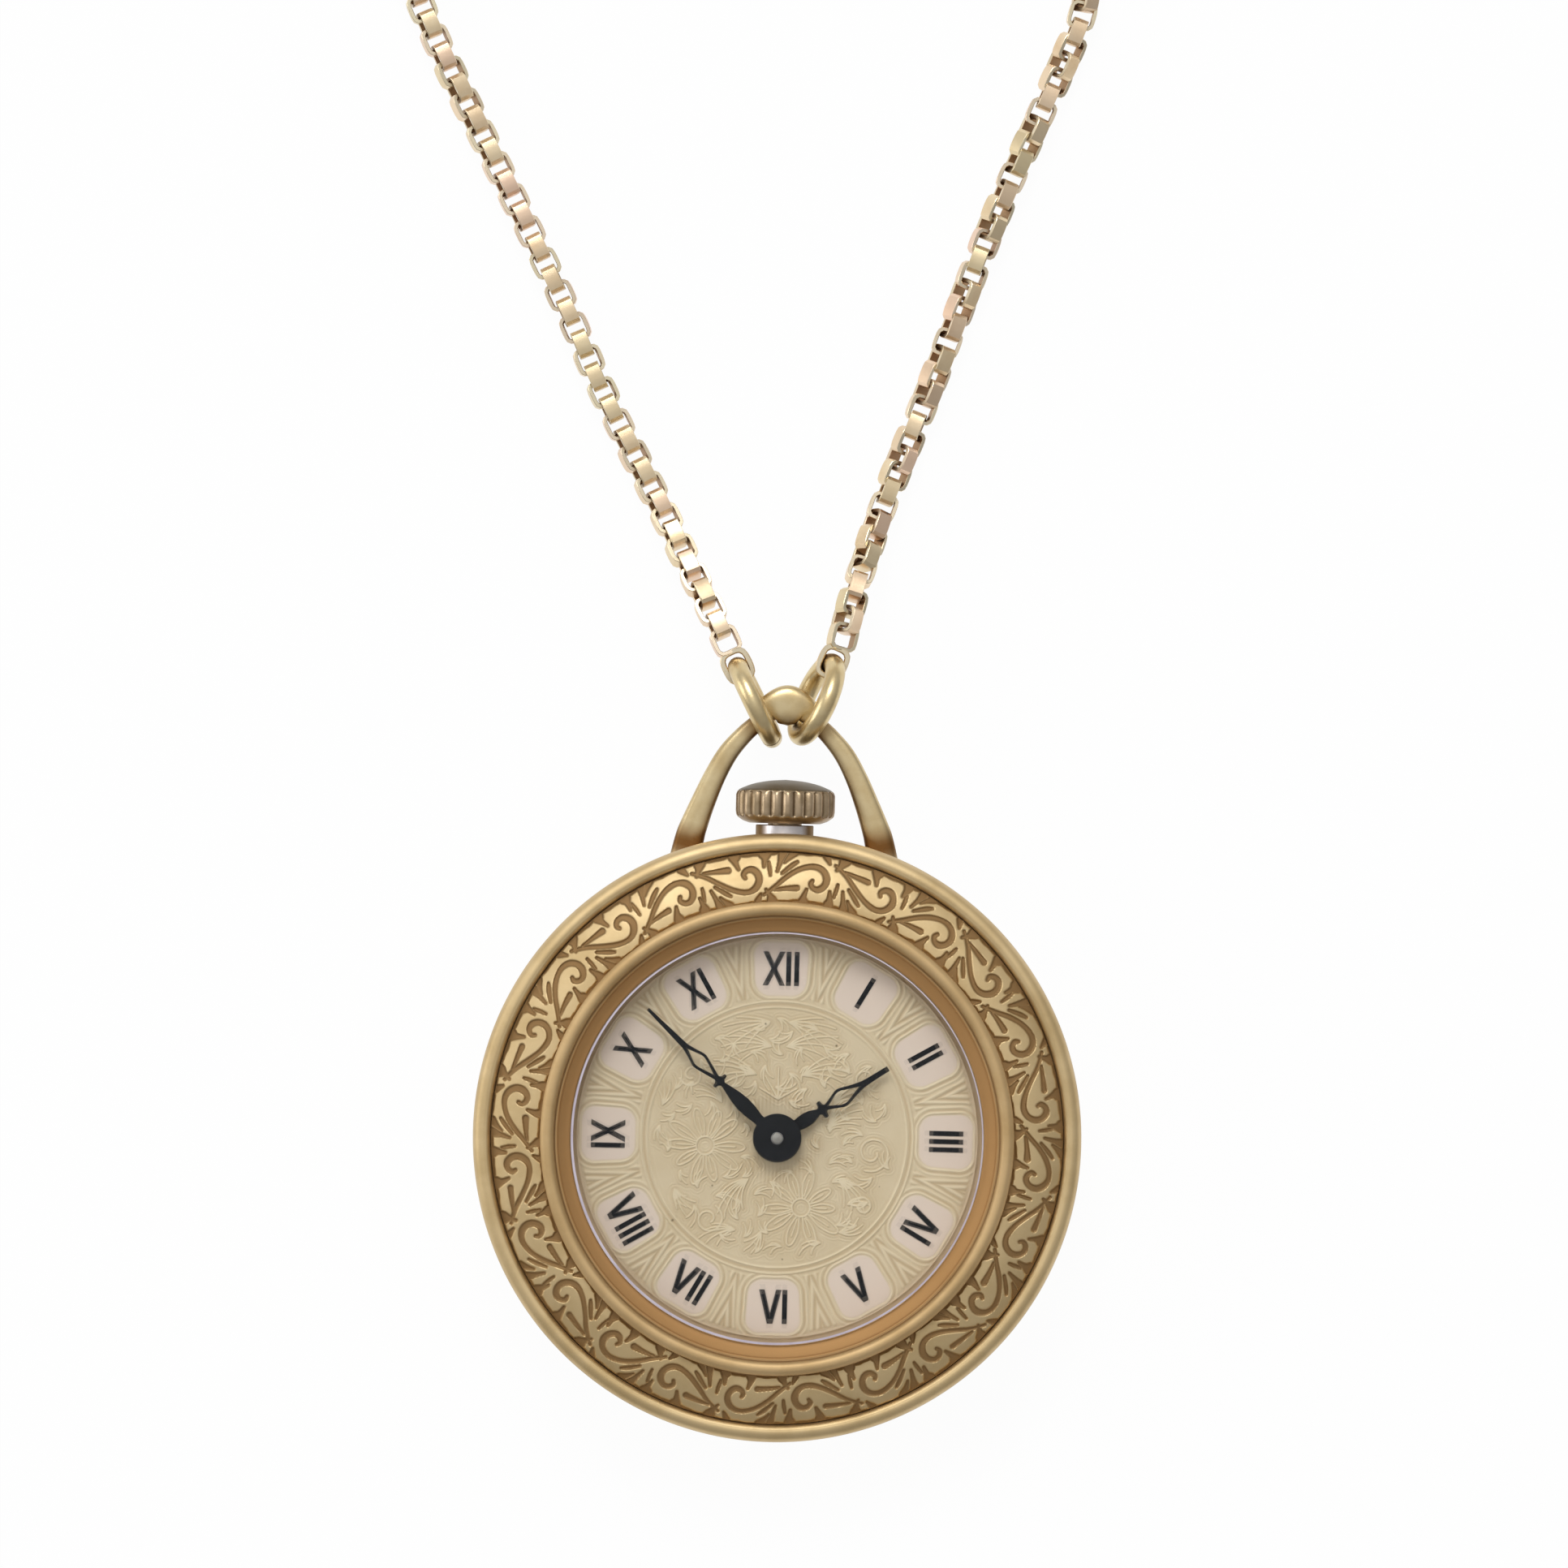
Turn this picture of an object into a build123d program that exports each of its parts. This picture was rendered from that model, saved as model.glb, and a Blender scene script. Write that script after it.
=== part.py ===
from build123d import *
import math
import os

os.makedirs("parts", exist_ok=True)

# The watch lies on the flat of its back: +Z is the dial's way, +Y points at XII, the crown
# and the bow, and the origin is the centre of the flat of the back.

# Fits shared by all pieces
fit_gap = 0.02
run_gap = 0.05
overrun = 1.0
full_turn = 360.0
half_turn = full_turn / 2
quarter_turn = full_turn / 4
top_angle = quarter_turn

# Case, worked out inwards from its edge
case_radius = 15.0
rim_width = 0.9
rim_inner_radius = case_radius - rim_width
rim_bead_height = 0.7
rim_rise = 0.2
rim_bead_width = 0.62
case_belly_height = 3.4
back_flat_setback = 3.8
back_flat_radius = case_radius - back_flat_setback
back_edge_setback = 0.65
back_edge_radius = case_radius - back_edge_setback
back_edge_height = 1.5
back_wall = 0.6
snap_setback = 2.1
snap_radius = case_radius - snap_setback
snap_lip_wall = 0.5
snap_lip_height = 0.8
snap_bore_depth = 1.1
flange_clearance = 0.05
flange_thickness = 0.3

# Bezel ring, worked out inwards from the rim
bezel_edge_thickness = 0.75
band_rise = 0.7
band_crown = 0.16
band_width = 2.4
band_inner_radius = rim_inner_radius - band_width
ring_width = 0.75
ring_inner_radius = band_inner_radius - ring_width
ring_step_height = 0.35
ring_crown = 0.25
wall_width = 0.75
opening_radius = ring_inner_radius - wall_width
flange_radius = opening_radius + flange_clearance
lip_thickness = 0.6
rebate_width = 0.35
rebate_radius = opening_radius + rebate_width

# Crystal
crystal_wall = 0.6
crystal_shoulder_rise = 0.25
crystal_dome_rise = 1.75
crystal_flange_height = 0.38

# Dial
dial_margin = 0.4
dial_radius = opening_radius + dial_margin
dial_thickness = 0.3
dial_clearance = 0.03
dial_hole_radius = 0.95
dial_foot_radius = 0.3
dial_foot_length = 0.8
dial_foot_setback = 1.6
dial_foot_place_radius = dial_radius - dial_foot_setback
dial_foot_angles = (62.0, 242.0)
chapter_width = 3.65
chapter_radius = opening_radius - chapter_width
chapter_line_width = 0.14
relief_height = 0.05
cartouche_setback = 1.9
cartouche_radius = opening_radius - cartouche_setback
cartouche_width = 2.5
cartouche_height = 2.7
cartouche_corner = 0.5
hours = 12

# Hands
boss_radius = 1.2
hand_thickness = 0.12
hour_hand_rise = 0.4
minute_hand_rise = 0.3
minute_hand_angle = 134.1
hour_hand_angle = 33.4
minute_tip_setback = 1.2
minute_tip = opening_radius - minute_tip_setback
minute_knot = 4.02
minute_loop_wide = 5.41
minute_loop_end = 6.42
minute_leaf_wide = 2.35
minute_leaf_width = 0.95
minute_loop_width = 0.88
minute_tip_width = 0.16
hour_tip = 6.46
hour_knot = 2.65
hour_loop_wide = 3.76
hour_loop_end = 5.09
hour_leaf_wide = 1.75
hour_leaf_width = 0.82
hour_loop_width = 0.98
hour_tip_width = 0.26
hand_knot_width = 0.78
hand_knot_length = 0.26
hand_knot_bar_length = 0.468
hand_root_radius = 0.96
hand_neck_width = 0.26
hand_loop_line = 0.15

# Winding stem and crown, along +Y at the height of the stem
stem_rise = 0.75
stem_radius = 0.45
stem_pinion_radius = 0.4
stem_square = 0.56
stem_pivot_radius = 0.22
stem_end = 4.62
stem_square_start = 4.95
stem_square_end = 6.2
stem_pinion_end = 7.6
stem_groove_place = 8.35
stem_groove_width = 0.4
stem_groove_radius = 0.28
tube_radius = 1.45
tube_bore_radius = 0.92
tube_depth = 1.7
tube_start = case_radius - tube_depth
tube_rise = 0.42
tube_end = case_radius + tube_rise
crown_clearance = 0.08
crown_start = tube_end + crown_clearance
crown_radius = 2.45
crown_skirt_radius = 2.05
crown_skirt_height = 0.3
crown_band_height = 1.28
crown_dome_height = 0.45
crown_dome_radius = 1.55
crown_hub_radius = 0.84
crown_hub_length = 1.25
crown_bore_depth = 1.45
crown_ridges = 25
crown_ridge_radius = 0.2

# Bow, an A-shaped loop brazed to the case: x and the rise over the case's edge as shares of
# its span, and width and depth as shares of the wire at its feet
bow_span = 5.0
bow_wire = 2.0
bow_section_shares = [
    (0.92, -0.26, 0.8, 0.6),
    (0.89, 0.02, 0.75, 0.58),
    (0.824, 0.34, 0.585, 0.55),
    (0.616, 0.732, 0.49, 0.525),
    (0.3, 1.1, 0.42, 0.55),
    (0.16, 1.23, 0.775, 0.65),
    (0.0, 1.254, 0.98, 0.7),
]
bow_sections = [
    (x * bow_span, rise * bow_span, width * bow_wire, depth * bow_wire)
    for x, rise, width, depth in bow_section_shares
]

# Jump rings round the legs of the bow: their places as shares of its span, and their lean from +Y
jump_major_radius = 1.95
jump_wire_radius = 0.5
jump_left_shares = (-0.324, 1.29)
jump_left_place = (jump_left_shares[0] * bow_span, case_radius + jump_left_shares[1] * bow_span)
jump_left_lean = 27.0
jump_right_shares = (0.282, 1.334)
jump_right_place = (jump_right_shares[0] * bow_span, case_radius + jump_right_shares[1] * bow_span)
jump_right_lean = -22.5
link_major_radius = 0.84
link_wire_radius = 0.24

# Chain, drawn as a round cord of the width of its box links
chain_diameter = 1.5
chain_floor = chain_diameter / 2
chain_run_share = 0.45
chain_lead = chain_diameter
left_last_run = 5.0
right_last_run = 4.3
coil_side = -4.0
coil_rise = 62.0
coil_centre = (coil_side, case_radius + coil_rise)
coil_gap = 0.72
coil_outer_radius = 17.0
coil_quarter_count = 11

# The route of each stretch from the end link to the coil: x, rise over the case's edge, height
left_route = [
    (-3.9, 10.95, 2.75),
    (-5.15, 13.3, 1.5),
    (-6.5, 16.0, chain_floor),
    (-9.6, 21.67, chain_floor),
    (-11.2, 25.4, chain_floor),
    (-14.75, 32.2, chain_floor),
    (-18.35, 39.0, chain_floor),
    (-20.75, 44.6, chain_floor),
    (-21.3, 50.0, chain_floor),
]
right_route = [
    (3.05, 11.6, 2.7),
    (3.75, 14.0, 1.45),
    (4.6, 16.8, chain_floor),
    (6.8, 22.5, chain_floor),
    (9.5, 30.5, chain_floor),
    (12.35, 37.2, chain_floor),
    (14.3, 42.0, chain_floor),
    (13.45, 45.5, chain_floor),
    (10.7, 47.75, chain_floor),
    (7.0, 47.9, chain_floor),
]

# Clasp: a spring ring with a sliding bolt, a tag and a small ring at each end of the chain
clasp_major_radius = 2.1
clasp_tube_radius = 0.45
clasp_bolt_radius = 0.24
clasp_mouth_angle = 30.0
clasp_mouth_start = 150.0
clasp_seat_angle = 8.0
clasp_bolt_angle = 50.0
clasp_travel_angle = 38.0
clasp_knob_angle = 14.0
clasp_knob_radius = 0.2
clasp_knob_height = 0.4
clasp_lean = 83.0
clasp_lug_major = 0.34
clasp_lug_wire = 0.13
small_ring_major = 0.55
small_ring_wire = 0.15
tag_thickness = 0.28
tag_height = 1.4

# Movement, the bridges facing the back
movement_radius = 9.6
plate_floor = 0.9
recess_floor = 0.35
winding_room = 1.05
bridge_thickness = 0.5
bridge_setback = 0.3
bridge_radius = movement_radius - bridge_setback
holder_setback = 0.57
holder_radius = snap_radius - holder_setback
pocket_gap = 0.28
clutch_pocket_half = 1.45
clutch_pocket_end = 7.45
lever_pocket_middle = 9.05
lever_pocket_length = 3.2
lever_pocket_width = 3.15
lever_side = 1.89
yoke_pocket_middle = 6.5
yoke_pocket_length = 3.5
yoke_pocket_width = 3.52
yoke_pocket_side = 1.54
yoke_pin_radius = 0.084

# Train: tooth counts, modules and shares of the module or of the tooth
addendum_share = 0.9
dedendum_share = 1.2
rim_share = 3.2
wheel_spokes = 4
barrel_teeth = 72
centre_leaves = 12
centre_teeth = 64
third_leaves = 8
third_teeth = 60
fourth_leaves = 8
fourth_teeth = 70
escape_leaves = 7
escape_teeth = 15
barrel_module = 0.11
centre_module = 0.095
third_module = 0.08
fourth_module = 0.06
escape_radius = 1.7
escape_rim_share = 0.76
escape_web_share = 0.85
escape_spoke_share = 0.9
escape_tip_shares = (0.42, 0.56)
escape_heel_share = 0.4
balance_radius = 3.3
balance_rim_width = 0.35
balance_arm_width = 0.42
roller_radius = 0.5
roller_pin_radius = 0.06
roller_pin_place = 0.38
barrel_angle = 30.0
third_angle = -80.0
fourth_angle = -150.0
escape_angle = 165.0
pallet_angle = 120.0
balance_angle = 95.0
pallet_centre_distance = 1.97
pallet_span_angle = 30.0
fork_width = 0.26
fork_horn_length = 0.39
fork_horn_width = 0.676
fork_hub_radius = 0.338
stone_width = 0.16
stone_length = 0.42
cock_drop = 0.22
cock_height = 0.16
cock_foot_distance = 1.72
cock_foot_radius = 0.364
cock_width = 0.78
cock_angle = 18.0
balance_centre_distance = 2.3

# Train: thicknesses, and rises over the bridges
wheel_thickness = 0.15
wheel_hub = 0.5
barrel_rise = 0.1
barrel_rim_height = 0.25
barrel_height = 0.75
barrel_wall = 0.2
barrel_floor = 0.15
arbor_radius = 0.5
arbor_pivot_radius = 0.3
staff_radius = 0.14
pivot_radius = 0.12
centre_arbor_radius = 0.25
centre_pinion_rise = 0.07
third_wheel_rise = 0.3
third_pinion_rise = 0.57
fourth_wheel_rise = 0.59
fourth_pinion_rise = 0.15
escape_pinion_rise = 0.47
balance_rise = 0.35
balance_height = 0.35
roller_height = 0.1
collet_radius = 0.4
hairspring_rise = 0.09
hairspring_height = 0.12
hairspring_width = 0.05
hairspring_step = 0.24
hairspring_quarters = 24
hairspring_outer = 1.95
hairspring_stud_angle = 90.0
mainspring_width = 0.12
mainspring_quarters = 24
mainspring_step = 0.4

# Winding and setting work
winding_teeth = 32
ratchet_teeth = 48
winding_module = 0.119
winding_drop = 0.35
winding_height = 0.3
crown_wheel_place = (0.0, 4.9)
winding_pinion_teeth = 16
winding_pinion_radius = 1.24
sliding_pinion_radius = 0.82
sliding_groove_radius = 0.56
sliding_pinion_start = 5.02
sliding_pinion_end = 6.1
sliding_groove_start = 5.45
sliding_groove_width = 0.24
motion_module = 0.1
cannon_leaves = 10
minute_teeth = 30
minute_leaves = 8
hour_teeth = 32
setting_teeth = 14
cannon_radius = 0.43
cannon_neck_radius = 0.3
cannon_rise = 0.3
cannon_leaf_height = 0.2
hour_pipe_radius = 0.74
click_distance = 3.75
click_angle = -62.0
click_radius = 0.5
click_root_radius = 0.4
click_root_angles = (150.0, 240.0)
click_nose_angle = -86.0
click_heel_angle = -84.0
click_spring_width = 0.1
click_spring_start = -58.0
click_spring_size = 36.0
regulator_radius = 0.8
regulator_bore_radius = 0.48
regulator_angle = 180.0
regulator_tail_middle = 1.44
regulator_tail_length = 1.6
regulator_tail_width = 0.2

# Screws, as angles round the movement
screw_head_radius = 0.42
screw_head_height = 0.34
wheel_screw_radius = 0.63
screw_shank_radius = 0.2
screw_shank_length = 1.5
screw_slot = 0.12
screw_place_radius = 8.62
bridge_screw_angles = (112.0, 60.0, 4.0, -35.0, -75.0, -118.0)
cock_screw_angle = 158.0
cock_screw_radius = 8.85
clamp_angles = (138.0, -22.0)
clamp_width = 1.3
clamp_length = 3.12
clamp_thickness = 0.22
jewel_radius = 0.4
jewel_thickness = 0.2

# Heights over the flat of the back, each built on what lies below it
bridge_bottom = back_wall + winding_room
bridge_top = bridge_bottom + bridge_thickness
winding_low = bridge_bottom - winding_drop
stem_height = bridge_top + stem_rise
barrel_low = bridge_top + barrel_rise
centre_pinion_low = bridge_top + centre_pinion_rise
centre_wheel_low = barrel_low + barrel_height + run_gap
third_wheel_low = bridge_top + third_wheel_rise
third_pinion_low = bridge_top + third_pinion_rise
fourth_wheel_low = bridge_top + fourth_wheel_rise
fourth_pinion_low = bridge_top + fourth_pinion_rise
escape_pinion_low = bridge_top + escape_pinion_rise
escape_wheel_low = centre_wheel_low + wheel_thickness
hairspring_low = bridge_top + hairspring_rise
balance_low = bridge_top + balance_rise
roller_low = balance_low + balance_height + run_gap
plate_pocket_height = escape_wheel_low + wheel_thickness + run_gap
recess_height = plate_pocket_height + recess_floor
plate_top = plate_pocket_height + plate_floor
dial_bottom_height = plate_top + fit_gap
dial_top = dial_bottom_height + dial_thickness
hour_hand_height = dial_top + hour_hand_rise
minute_hand_height = hour_hand_height + minute_hand_rise
cannon_top = minute_hand_height + cannon_rise
flange_bottom = dial_top + dial_clearance
bezel_seat_height = flange_bottom + flange_thickness
bezel_outer_height = bezel_seat_height + bezel_edge_thickness
rim_top_height = bezel_outer_height + rim_rise
rim_shoulder_height = rim_top_height - rim_bead_height
band_top_height = bezel_outer_height + band_rise
ring_edge_height = band_top_height + ring_step_height
ring_top_height = ring_edge_height + ring_crown
lip_bottom_height = bezel_seat_height + crystal_flange_height + fit_gap + run_gap
lip_top_height = lip_bottom_height + lip_thickness
crystal_shoulder_height = lip_top_height + crystal_shoulder_rise
crystal_top_height = crystal_shoulder_height + crystal_dome_rise

stem_plane = Plane(origin=(0, 0, stem_height), x_dir=(1, 0, 0), z_dir=(0, 1, 0))


def polar(radius, angle, start=(0.0, 0.0)):
    turn = math.radians(angle)
    return (start[0] + radius * math.cos(turn), start[1] + radius * math.sin(turn))


def finish(builder, name):
    builder.part.label = name
    export_step(builder.part, "parts/" + name + ".step")
    return builder.part


def tooth_points(teeth, module, phase, tip_share=0.13, root_share=0.3):
    """Trapezoid teeth, one of them centred on the phase angle."""
    pitch_radius = module * teeth / 2
    tip = pitch_radius + module * addendum_share
    root = pitch_radius - module * dedendum_share
    step = full_turn / teeth
    points = []
    for tooth in range(teeth):
        middle = phase + tooth * step
        points.append(polar(root, middle - root_share * step))
        points.append(polar(tip, middle - tip_share * step))
        points.append(polar(tip, middle + tip_share * step))
        points.append(polar(root, middle + root_share * step))
    return points


def pinion_phase(angle, leaves):
    return angle + half_turn + half_turn / leaves


def spiral_arcs(centre, start_angle, radius, step, quarters, turn=-1):
    """Quarter arcs, each smaller than the last by a quarter of the step, in one tangent line."""
    edges = []
    angle = start_angle
    middle = Vector(centre[0], centre[1])
    for quarter in range(quarters):
        edges.append(CenterArc((middle.X, middle.Y), radius, angle, turn * quarter_turn))
        angle = angle + turn * quarter_turn
        shrink = step / 4
        way = polar(shrink, angle)
        middle = middle + Vector(way[0], way[1])
        radius = radius - shrink
    return edges


def centre_of(start, distance, angle):
    return polar(distance, angle, start)


# Places of the wheels, worked out from teeth and modules
barrel_place = centre_of((0.0, 0.0), barrel_module * (barrel_teeth + centre_leaves) / 2, barrel_angle)
third_place = centre_of((0.0, 0.0), centre_module * (centre_teeth + third_leaves) / 2, third_angle)
fourth_place = centre_of(third_place, third_module * (third_teeth + fourth_leaves) / 2, fourth_angle)
escape_place = centre_of(fourth_place, fourth_module * (fourth_teeth + escape_leaves) / 2, escape_angle)
pallet_place = centre_of(escape_place, pallet_centre_distance, pallet_angle)
balance_place = centre_of(pallet_place, balance_centre_distance, balance_angle)
minute_place = (0.0, motion_module * (cannon_leaves + minute_teeth) / 2)
setting_place = (0.0, minute_place[1] + motion_module * (minute_teeth + setting_teeth) / 2)
barrel_radius = barrel_module * barrel_teeth / 2
drum_radius = barrel_radius - barrel_module * 3

# Case: middle, back, bezel and crystal

with BuildPart() as case_middle:
    with BuildSketch(Plane.XZ):
        with BuildLine():
            Polyline(
                (rim_inner_radius + fit_gap, rim_top_height - band_crown),
                (rim_inner_radius + fit_gap, bezel_seat_height),
                (flange_radius, bezel_seat_height),
                (flange_radius, flange_bottom),
                (holder_radius + fit_gap, flange_bottom),
                (holder_radius + fit_gap, back_edge_height + snap_bore_depth),
                (snap_radius, back_edge_height + snap_bore_depth),
                (snap_radius, back_edge_height),
                (back_edge_radius, back_edge_height),
            )
            ThreePointArc(
                (back_edge_radius, back_edge_height),
                (
                    case_radius - (case_radius - back_edge_radius) / 4,
                    (back_edge_height + case_belly_height) / 2,
                ),
                (case_radius, case_belly_height),
            )
            Line((case_radius, case_belly_height), (case_radius, rim_shoulder_height))
            ThreePointArc(
                (case_radius, rim_shoulder_height),
                (case_radius - rim_bead_width / 3, rim_top_height - rim_bead_width / 4),
                (case_radius - rim_bead_width, rim_top_height),
            )
            Line(
                (case_radius - rim_bead_width, rim_top_height),
                (rim_inner_radius + fit_gap, rim_top_height - band_crown),
            )
        make_face()
    revolve(axis=Axis.Z)
    with BuildSketch(stem_plane.offset(holder_radius)):
        Circle(tube_radius)
    extrude(amount=case_radius + overrun - holder_radius, mode=Mode.SUBTRACT)
finish(case_middle, "case_middle")

with BuildPart() as case_back:
    lip_radius = snap_radius - fit_gap
    with BuildSketch(Plane.XZ):
        with BuildLine():
            Line((0, 0), (back_flat_radius, 0))
            ThreePointArc(
                (back_flat_radius, 0),
                (
                    (back_flat_radius * 2 + back_edge_radius * 3) / 5,
                    back_edge_height / 3,
                ),
                (back_edge_radius, back_edge_height - fit_gap),
            )
            Polyline(
                (back_edge_radius, back_edge_height - fit_gap),
                (lip_radius, back_edge_height - fit_gap),
                (lip_radius, back_edge_height + snap_lip_height),
                (lip_radius - snap_lip_wall, back_edge_height + snap_lip_height),
                (lip_radius - snap_lip_wall, back_edge_height - fit_gap),
                (back_flat_radius, back_wall),
                (0, back_wall),
                (0, 0),
            )
        make_face()
    revolve(axis=Axis.Z)
finish(case_back, "case_back")

with BuildPart() as bezel:
    with BuildSketch(Plane.XZ):
        with BuildLine():
            Polyline(
                (band_inner_radius, band_top_height),
                (band_inner_radius, ring_edge_height),
            )
            ThreePointArc(
                (band_inner_radius, ring_edge_height),
                ((band_inner_radius + ring_inner_radius) / 2, ring_top_height),
                (ring_inner_radius, ring_edge_height),
            )
            ThreePointArc(
                (ring_inner_radius, ring_edge_height),
                (
                    (ring_inner_radius * 2 + opening_radius * 3) / 5,
                    (ring_edge_height + lip_top_height * 2) / 3,
                ),
                (opening_radius, lip_top_height),
            )
            Polyline(
                (opening_radius, lip_top_height),
                (opening_radius, lip_bottom_height),
                (rebate_radius, lip_bottom_height),
                (rebate_radius, bezel_seat_height),
                (rim_inner_radius, bezel_seat_height),
                (rim_inner_radius, bezel_outer_height),
            )
            ThreePointArc(
                (rim_inner_radius, bezel_outer_height),
                (
                    (rim_inner_radius + band_inner_radius) / 2,
                    (bezel_outer_height + band_top_height) / 2 + band_crown,
                ),
                (band_inner_radius, band_top_height),
            )
        make_face()
    revolve(axis=Axis.Z)
finish(bezel, "bezel")


def dome_point(radius, shoulder, top):
    """A point half way out on an arc whose centre is on the axis."""
    rise = top - shoulder
    ball = (radius**2 + rise**2) / (rise * 2)
    return (radius / 2, top - ball + math.sqrt(ball**2 - radius**2 / 4))


with BuildPart() as crystal:
    crystal_radius = opening_radius - fit_gap
    crystal_inner = crystal_radius - crystal_wall
    flange_outer = rebate_radius - fit_gap
    crystal_bottom = bezel_seat_height + fit_gap
    with BuildSketch(Plane.XZ):
        with BuildLine():
            Polyline(
                (crystal_inner, crystal_bottom),
                (flange_outer, crystal_bottom),
                (flange_outer, crystal_bottom + crystal_flange_height),
                (crystal_radius, crystal_bottom + crystal_flange_height),
                (crystal_radius, crystal_shoulder_height),
            )
            ThreePointArc(
                (crystal_radius, crystal_shoulder_height),
                dome_point(crystal_radius, crystal_shoulder_height, crystal_top_height),
                (0, crystal_top_height),
            )
            inner_top = crystal_top_height - crystal_wall
            inner_shoulder = crystal_shoulder_height - crystal_wall / 2
            Line((0, crystal_top_height), (0, inner_top))
            ThreePointArc(
                (0, inner_top),
                dome_point(crystal_inner, inner_shoulder, inner_top),
                (crystal_inner, inner_shoulder),
            )
            Line((crystal_inner, inner_shoulder), (crystal_inner, crystal_bottom))
        make_face()
    revolve(axis=Axis.Z)
finish(crystal, "crystal")

# Bow, seated on the wall of the case

with BuildPart() as bow:
    mirrored = [(-x, rise, width, depth) for x, rise, width, depth in bow_sections[-2::-1]]
    sections = bow_sections + mirrored
    for here, (x, rise, width, depth) in enumerate(sections):
        y = case_radius + rise
        before = sections[max(here - 1, 0)]
        after = sections[min(here + 1, len(sections) - 1)]
        way = Vector(after[0] - before[0], after[1] - before[1], 0).normalized()
        across = Vector(way.Y, -way.X, 0)
        with BuildSketch(Plane(origin=(x, y, stem_height), x_dir=across, z_dir=way)):
            Ellipse(width / 2, depth / 2)
    loft()
    with BuildSketch(Plane.XY):
        Circle(case_radius)
    extrude(amount=rim_shoulder_height, mode=Mode.SUBTRACT)
finish(bow, "bow")

# Pendant tube, crown and stem

with BuildPart() as pendant_tube:
    with BuildSketch(stem_plane.offset(tube_start)):
        Circle(tube_radius - fit_gap)
        Circle(tube_bore_radius, mode=Mode.SUBTRACT)
    extrude(amount=tube_end - tube_start)
finish(pendant_tube, "pendant_tube")

with BuildPart() as crown:
    with BuildSketch(stem_plane.offset(crown_start)):
        Circle(crown_skirt_radius)
    with BuildSketch(stem_plane.offset(crown_start + crown_skirt_height)):
        Circle(crown_radius - crown_ridge_radius / 2)
    loft()
    with BuildSketch(stem_plane.offset(crown_start + crown_skirt_height)):
        Circle(crown_radius - crown_ridge_radius / 2)
        with PolarLocations(crown_radius - crown_ridge_radius, crown_ridges):
            Circle(crown_ridge_radius)
    extrude(amount=crown_band_height)
    crown_face = crown_start + crown_skirt_height + crown_band_height
    with BuildSketch(stem_plane.offset(crown_face)):
        Circle(crown_radius - crown_ridge_radius)
    with BuildSketch(stem_plane.offset(crown_face + crown_dome_height)):
        Circle(crown_dome_radius)
    loft()
    with BuildSketch(stem_plane.offset(crown_start - crown_hub_length)):
        Circle(crown_hub_radius)
    extrude(amount=crown_hub_length)
    with BuildSketch(stem_plane.offset(crown_start - crown_hub_length)):
        Circle(stem_radius + fit_gap)
    extrude(amount=crown_hub_length + crown_bore_depth, mode=Mode.SUBTRACT)
finish(crown, "crown")

with BuildPart() as winding_stem:
    with BuildSketch(stem_plane.offset(stem_pinion_end)):
        Circle(stem_radius)
    extrude(amount=crown_start + crown_bore_depth - fit_gap - stem_pinion_end)
    with BuildSketch(stem_plane.offset(stem_square_end)):
        Circle(stem_pinion_radius)
    extrude(amount=stem_pinion_end - stem_square_end)
    with BuildSketch(stem_plane.offset(stem_square_start)):
        Rectangle(stem_square, stem_square)
    extrude(amount=stem_square_end - stem_square_start)
    with BuildSketch(stem_plane.offset(stem_end)):
        Circle(stem_pivot_radius)
    extrude(amount=stem_square_start - stem_end)
    with BuildSketch(stem_plane.offset(stem_groove_place)):
        Circle(stem_radius + overrun)
        Circle(stem_groove_radius, mode=Mode.SUBTRACT)
    extrude(amount=stem_groove_width, mode=Mode.SUBTRACT)
finish(winding_stem, "winding_stem")

with BuildPart() as winding_pinion:
    pinion_module = winding_pinion_radius * 2 / (winding_pinion_teeth + addendum_share * 2)
    pinion_start = stem_square_end + run_gap
    pinion_length = clutch_pocket_end - run_gap - pinion_start
    with BuildSketch(stem_plane.offset(pinion_start)):
        Polygon(*tooth_points(winding_pinion_teeth, pinion_module, 0.0), align=None)
        Circle(stem_pinion_radius + fit_gap, mode=Mode.SUBTRACT)
    extrude(amount=pinion_length)
finish(winding_pinion, "winding_pinion")

with BuildPart() as sliding_pinion:
    with BuildSketch(stem_plane.offset(sliding_pinion_start)):
        Circle(sliding_pinion_radius)
        Rectangle(stem_square + fit_gap * 2, stem_square + fit_gap * 2, mode=Mode.SUBTRACT)
    extrude(amount=sliding_pinion_end - sliding_pinion_start)
    with BuildSketch(stem_plane.offset(sliding_groove_start)):
        Circle(sliding_pinion_radius + overrun)
        Circle(sliding_groove_radius, mode=Mode.SUBTRACT)
    extrude(amount=sliding_groove_width, mode=Mode.SUBTRACT)
    with BuildSketch(stem_plane.offset(sliding_pinion_start)):
        with PolarLocations(sliding_pinion_radius, winding_pinion_teeth):
            Circle(motion_module)
    extrude(amount=sliding_groove_width, mode=Mode.SUBTRACT)
finish(sliding_pinion, "sliding_pinion")

# Movement holder and its clamps

clamp_low = bridge_bottom - fit_gap - clamp_thickness
clamp_screw_radius = movement_radius + clamp_width
clamp_screw_places = [polar(clamp_screw_radius, angle) for angle in clamp_angles]

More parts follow.
